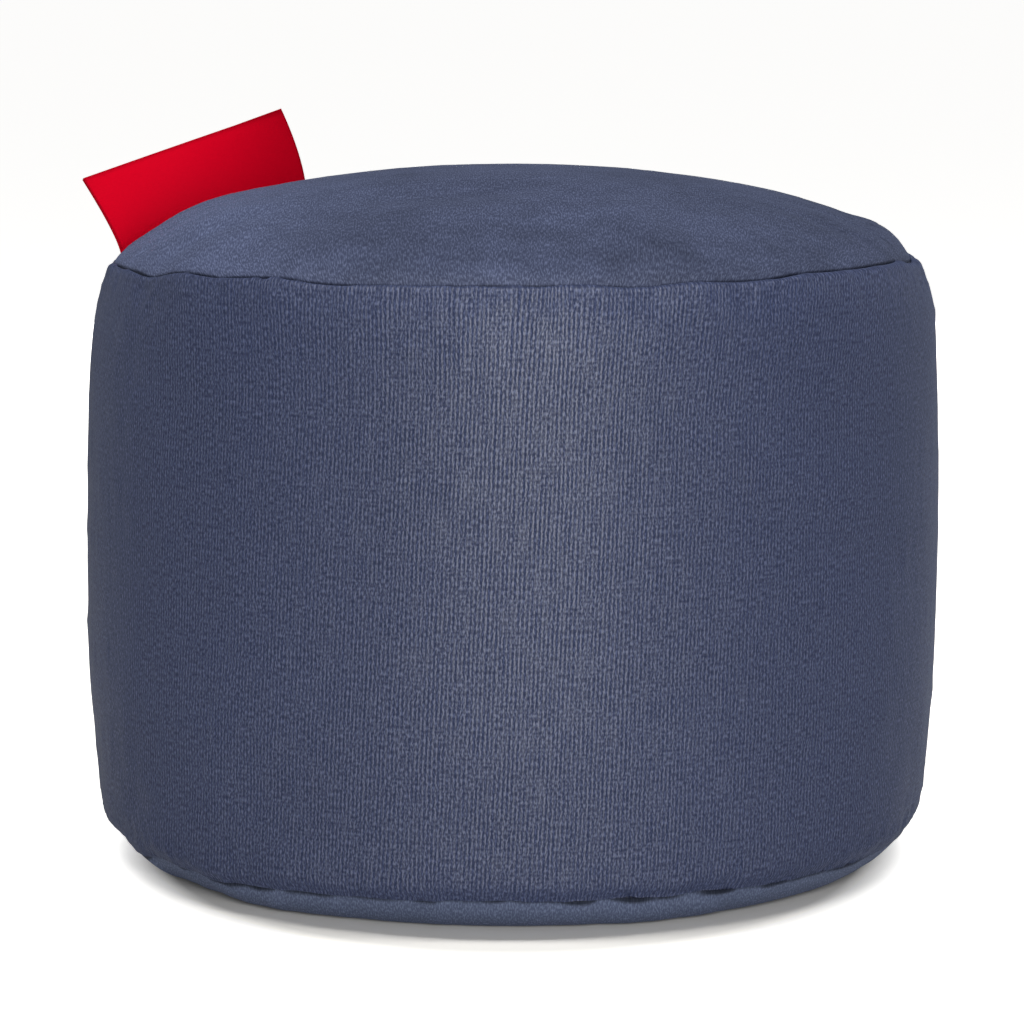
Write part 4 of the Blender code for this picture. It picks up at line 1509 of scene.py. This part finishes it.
class FOOTSTOOL_PG_cloth(bpy.types.PropertyGroup):
    rib_pitch: length("Rib pitch", "Distance between two ribs of the weave", 0.00234)
    yarn_pitch: length("Yarn pitch", "Distance between two yarns across the ribs", 0.0021)
    slub_length: length("Slub length", "Length of a light fleck along its yarn", 0.0024)
    rib_strength: number("Rib strength", "How clearly the ribs show", 0.46)
    fleck_strength: number("Flecks", "How uneven the yarns are", 0.8)
    wander: number("Rib wander", "How far ribs drift, in ribs", 0.28)
    rib_lean: number("Rib lean", "How far the ribs lean to the right", 0.04, -1.0)
    seam_pull: length("Seam pull", "How far the seams pull the ribs aside", 0.0022)
    bump: number("Relief", "Strength of the weave's relief", 0.6)
    roughness: factor("Roughness", "Roughness of the cloth", 0.56)
    gloss: factor("Gloss", "Specular level of the cloth", 0.1)
    shine: factor("Rib shine", "Shine of the ribs' crests", 0.8)
    dark_yarn: colour("Dark yarn", "Linear colour of the dark yarns", (0.0072, 0.0097, 0.0267, 1.0))
    light_yarn: colour("Light yarn", "Linear colour of the light yarns", (0.0520, 0.0660, 0.1315, 1.0))
    # Painted light: the base panel's colour is made about 2.6 times paler so its shaded rim looks as bright
    # as the band; its lower blue share makes it greyer
    base_tint_and_painted_light: vector("Base tint and painted light", "How much paler the base panel is, by colour", (2.704, 2.6, 2.028), "XYZ")
    panel_tint: vector("Top tint", "How much paler the top panel is, by colour", (1.3144, 1.24, 1.054), "XYZ")


class FOOTSTOOL_PG_label(bpy.types.PropertyGroup):
    thickness: length("Thickness", "Thickness of the folded tape", 0.0015)
    pick_pitch: length("Pick pitch", "Distance between two picks of the tape", 0.0007)
    colour: colour("Colour", "Linear colour of the tape", (0.50, 0.0004, 0.0115, 1.0))


class FOOTSTOOL_PG_stitching(bpy.types.PropertyGroup):
    pitch: length("Stitch pitch", "Distance between two stitches", 0.0034)
    thread: length("Thread", "Thickness of the thread", 0.0005)
    depth: length("Depth", "How deep the thread lies in the groove", 0.0017)
    inset: length("Inset", "How far the thread lies outside the seam's line", 0.0002)
    slant: angle_of("Slant", "Slant of each stitch", 0.18)
    colour: colour("Thread colour", "Linear colour of the thread", (0.035, 0.042, 0.075, 1.0))


class FOOTSTOOL_PG_stage(bpy.types.PropertyGroup):
    camera_distance: length("Camera distance", "Distance from the middle of the drum", 2.6)
    camera_height: length("Camera height", "Height above the floor", 0.585)
    camera_tilt: angle_of("Camera tilt", "How far the camera looks down", 0.147)
    focal_pixels: number("Focal length", "Focal length in pixels of the photograph", 4449.0)
    floor_colour: colour("Floor", "Linear colour of the floor", (0.83, 0.81, 0.765, 1.0))
    glow: number("Overexposure", "How far the floor burns out away from the drum", 0.8)
    ambient: number("Ambient light", "Strength of the white surroundings", 0.21)
    overhead_power: power("Overhead strip", "Power of the strip above", 45.0)
    front_power: power("Front strip", "Power of the front strip", 62.0)
    edge_power: power("Edge panels", "Power of the two panels behind", 9.0)
    back_power: power("Back panel", "Power of the panel at the back", 20.0)


class FOOTSTOOL_PG_settings(bpy.types.PropertyGroup):
    drum: PointerProperty(type=FOOTSTOOL_PG_drum)
    cloth: PointerProperty(type=FOOTSTOOL_PG_cloth)
    label: PointerProperty(type=FOOTSTOOL_PG_label)
    stitching: PointerProperty(type=FOOTSTOOL_PG_stitching)
    stage: PointerProperty(type=FOOTSTOOL_PG_stage)


class FOOTSTOOL_PT_panel(bpy.types.Panel):
    bl_idname = "FOOTSTOOL_PT_panel"
    bl_label = "Bean bag footstool"
    bl_space_type = "VIEW_3D"
    bl_region_type = "UI"
    bl_category = "Footstool"

    def draw(self, context):
        settings = settings_of(context)
        for title, group, operators in (
            ("Drum", settings.drum, ("side_band", "top_panel", "base_panel")),
            ("Cloth", settings.cloth, ()),
            ("Label", settings.label, ("label",)),
            ("Stitching", settings.stitching, ("seam_stitches",)),
            ("Stage", settings.stage, ("stage",)),
        ):
            box = self.layout.box()
            box.label(text=title)
            for name in group.bl_rna.properties.keys():
                if name not in ("rna_type", "name"):
                    box.prop(group, name)
            for operator in operators:
                box.operator("footstool." + operator)


CLASSES = (
    FOOTSTOOL_PG_drum,
    FOOTSTOOL_PG_cloth,
    FOOTSTOOL_PG_label,
    FOOTSTOOL_PG_stitching,
    FOOTSTOOL_PG_stage,
    FOOTSTOOL_PG_settings,
    FOOTSTOOL_OT_side_band,
    FOOTSTOOL_OT_top_panel,
    FOOTSTOOL_OT_base_panel,
    FOOTSTOOL_OT_label,
    FOOTSTOOL_OT_seam_stitches,
    FOOTSTOOL_OT_stage,
    FOOTSTOOL_PT_panel,
)


def register():
    for kind in CLASSES:
        bpy.utils.register_class(kind)
    bpy.types.Scene.footstool = PointerProperty(type=FOOTSTOOL_PG_settings)


def unregister():
    del bpy.types.Scene.footstool
    for kind in reversed(CLASSES):
        bpy.utils.unregister_class(kind)


def main():
    register()
    bpy.ops.footstool.side_band()
    bpy.ops.footstool.top_panel()
    bpy.ops.footstool.base_panel()
    bpy.ops.footstool.label()
    bpy.ops.footstool.seam_stitches()
    bpy.ops.footstool.stage()


if __name__ == "__main__":
    main()
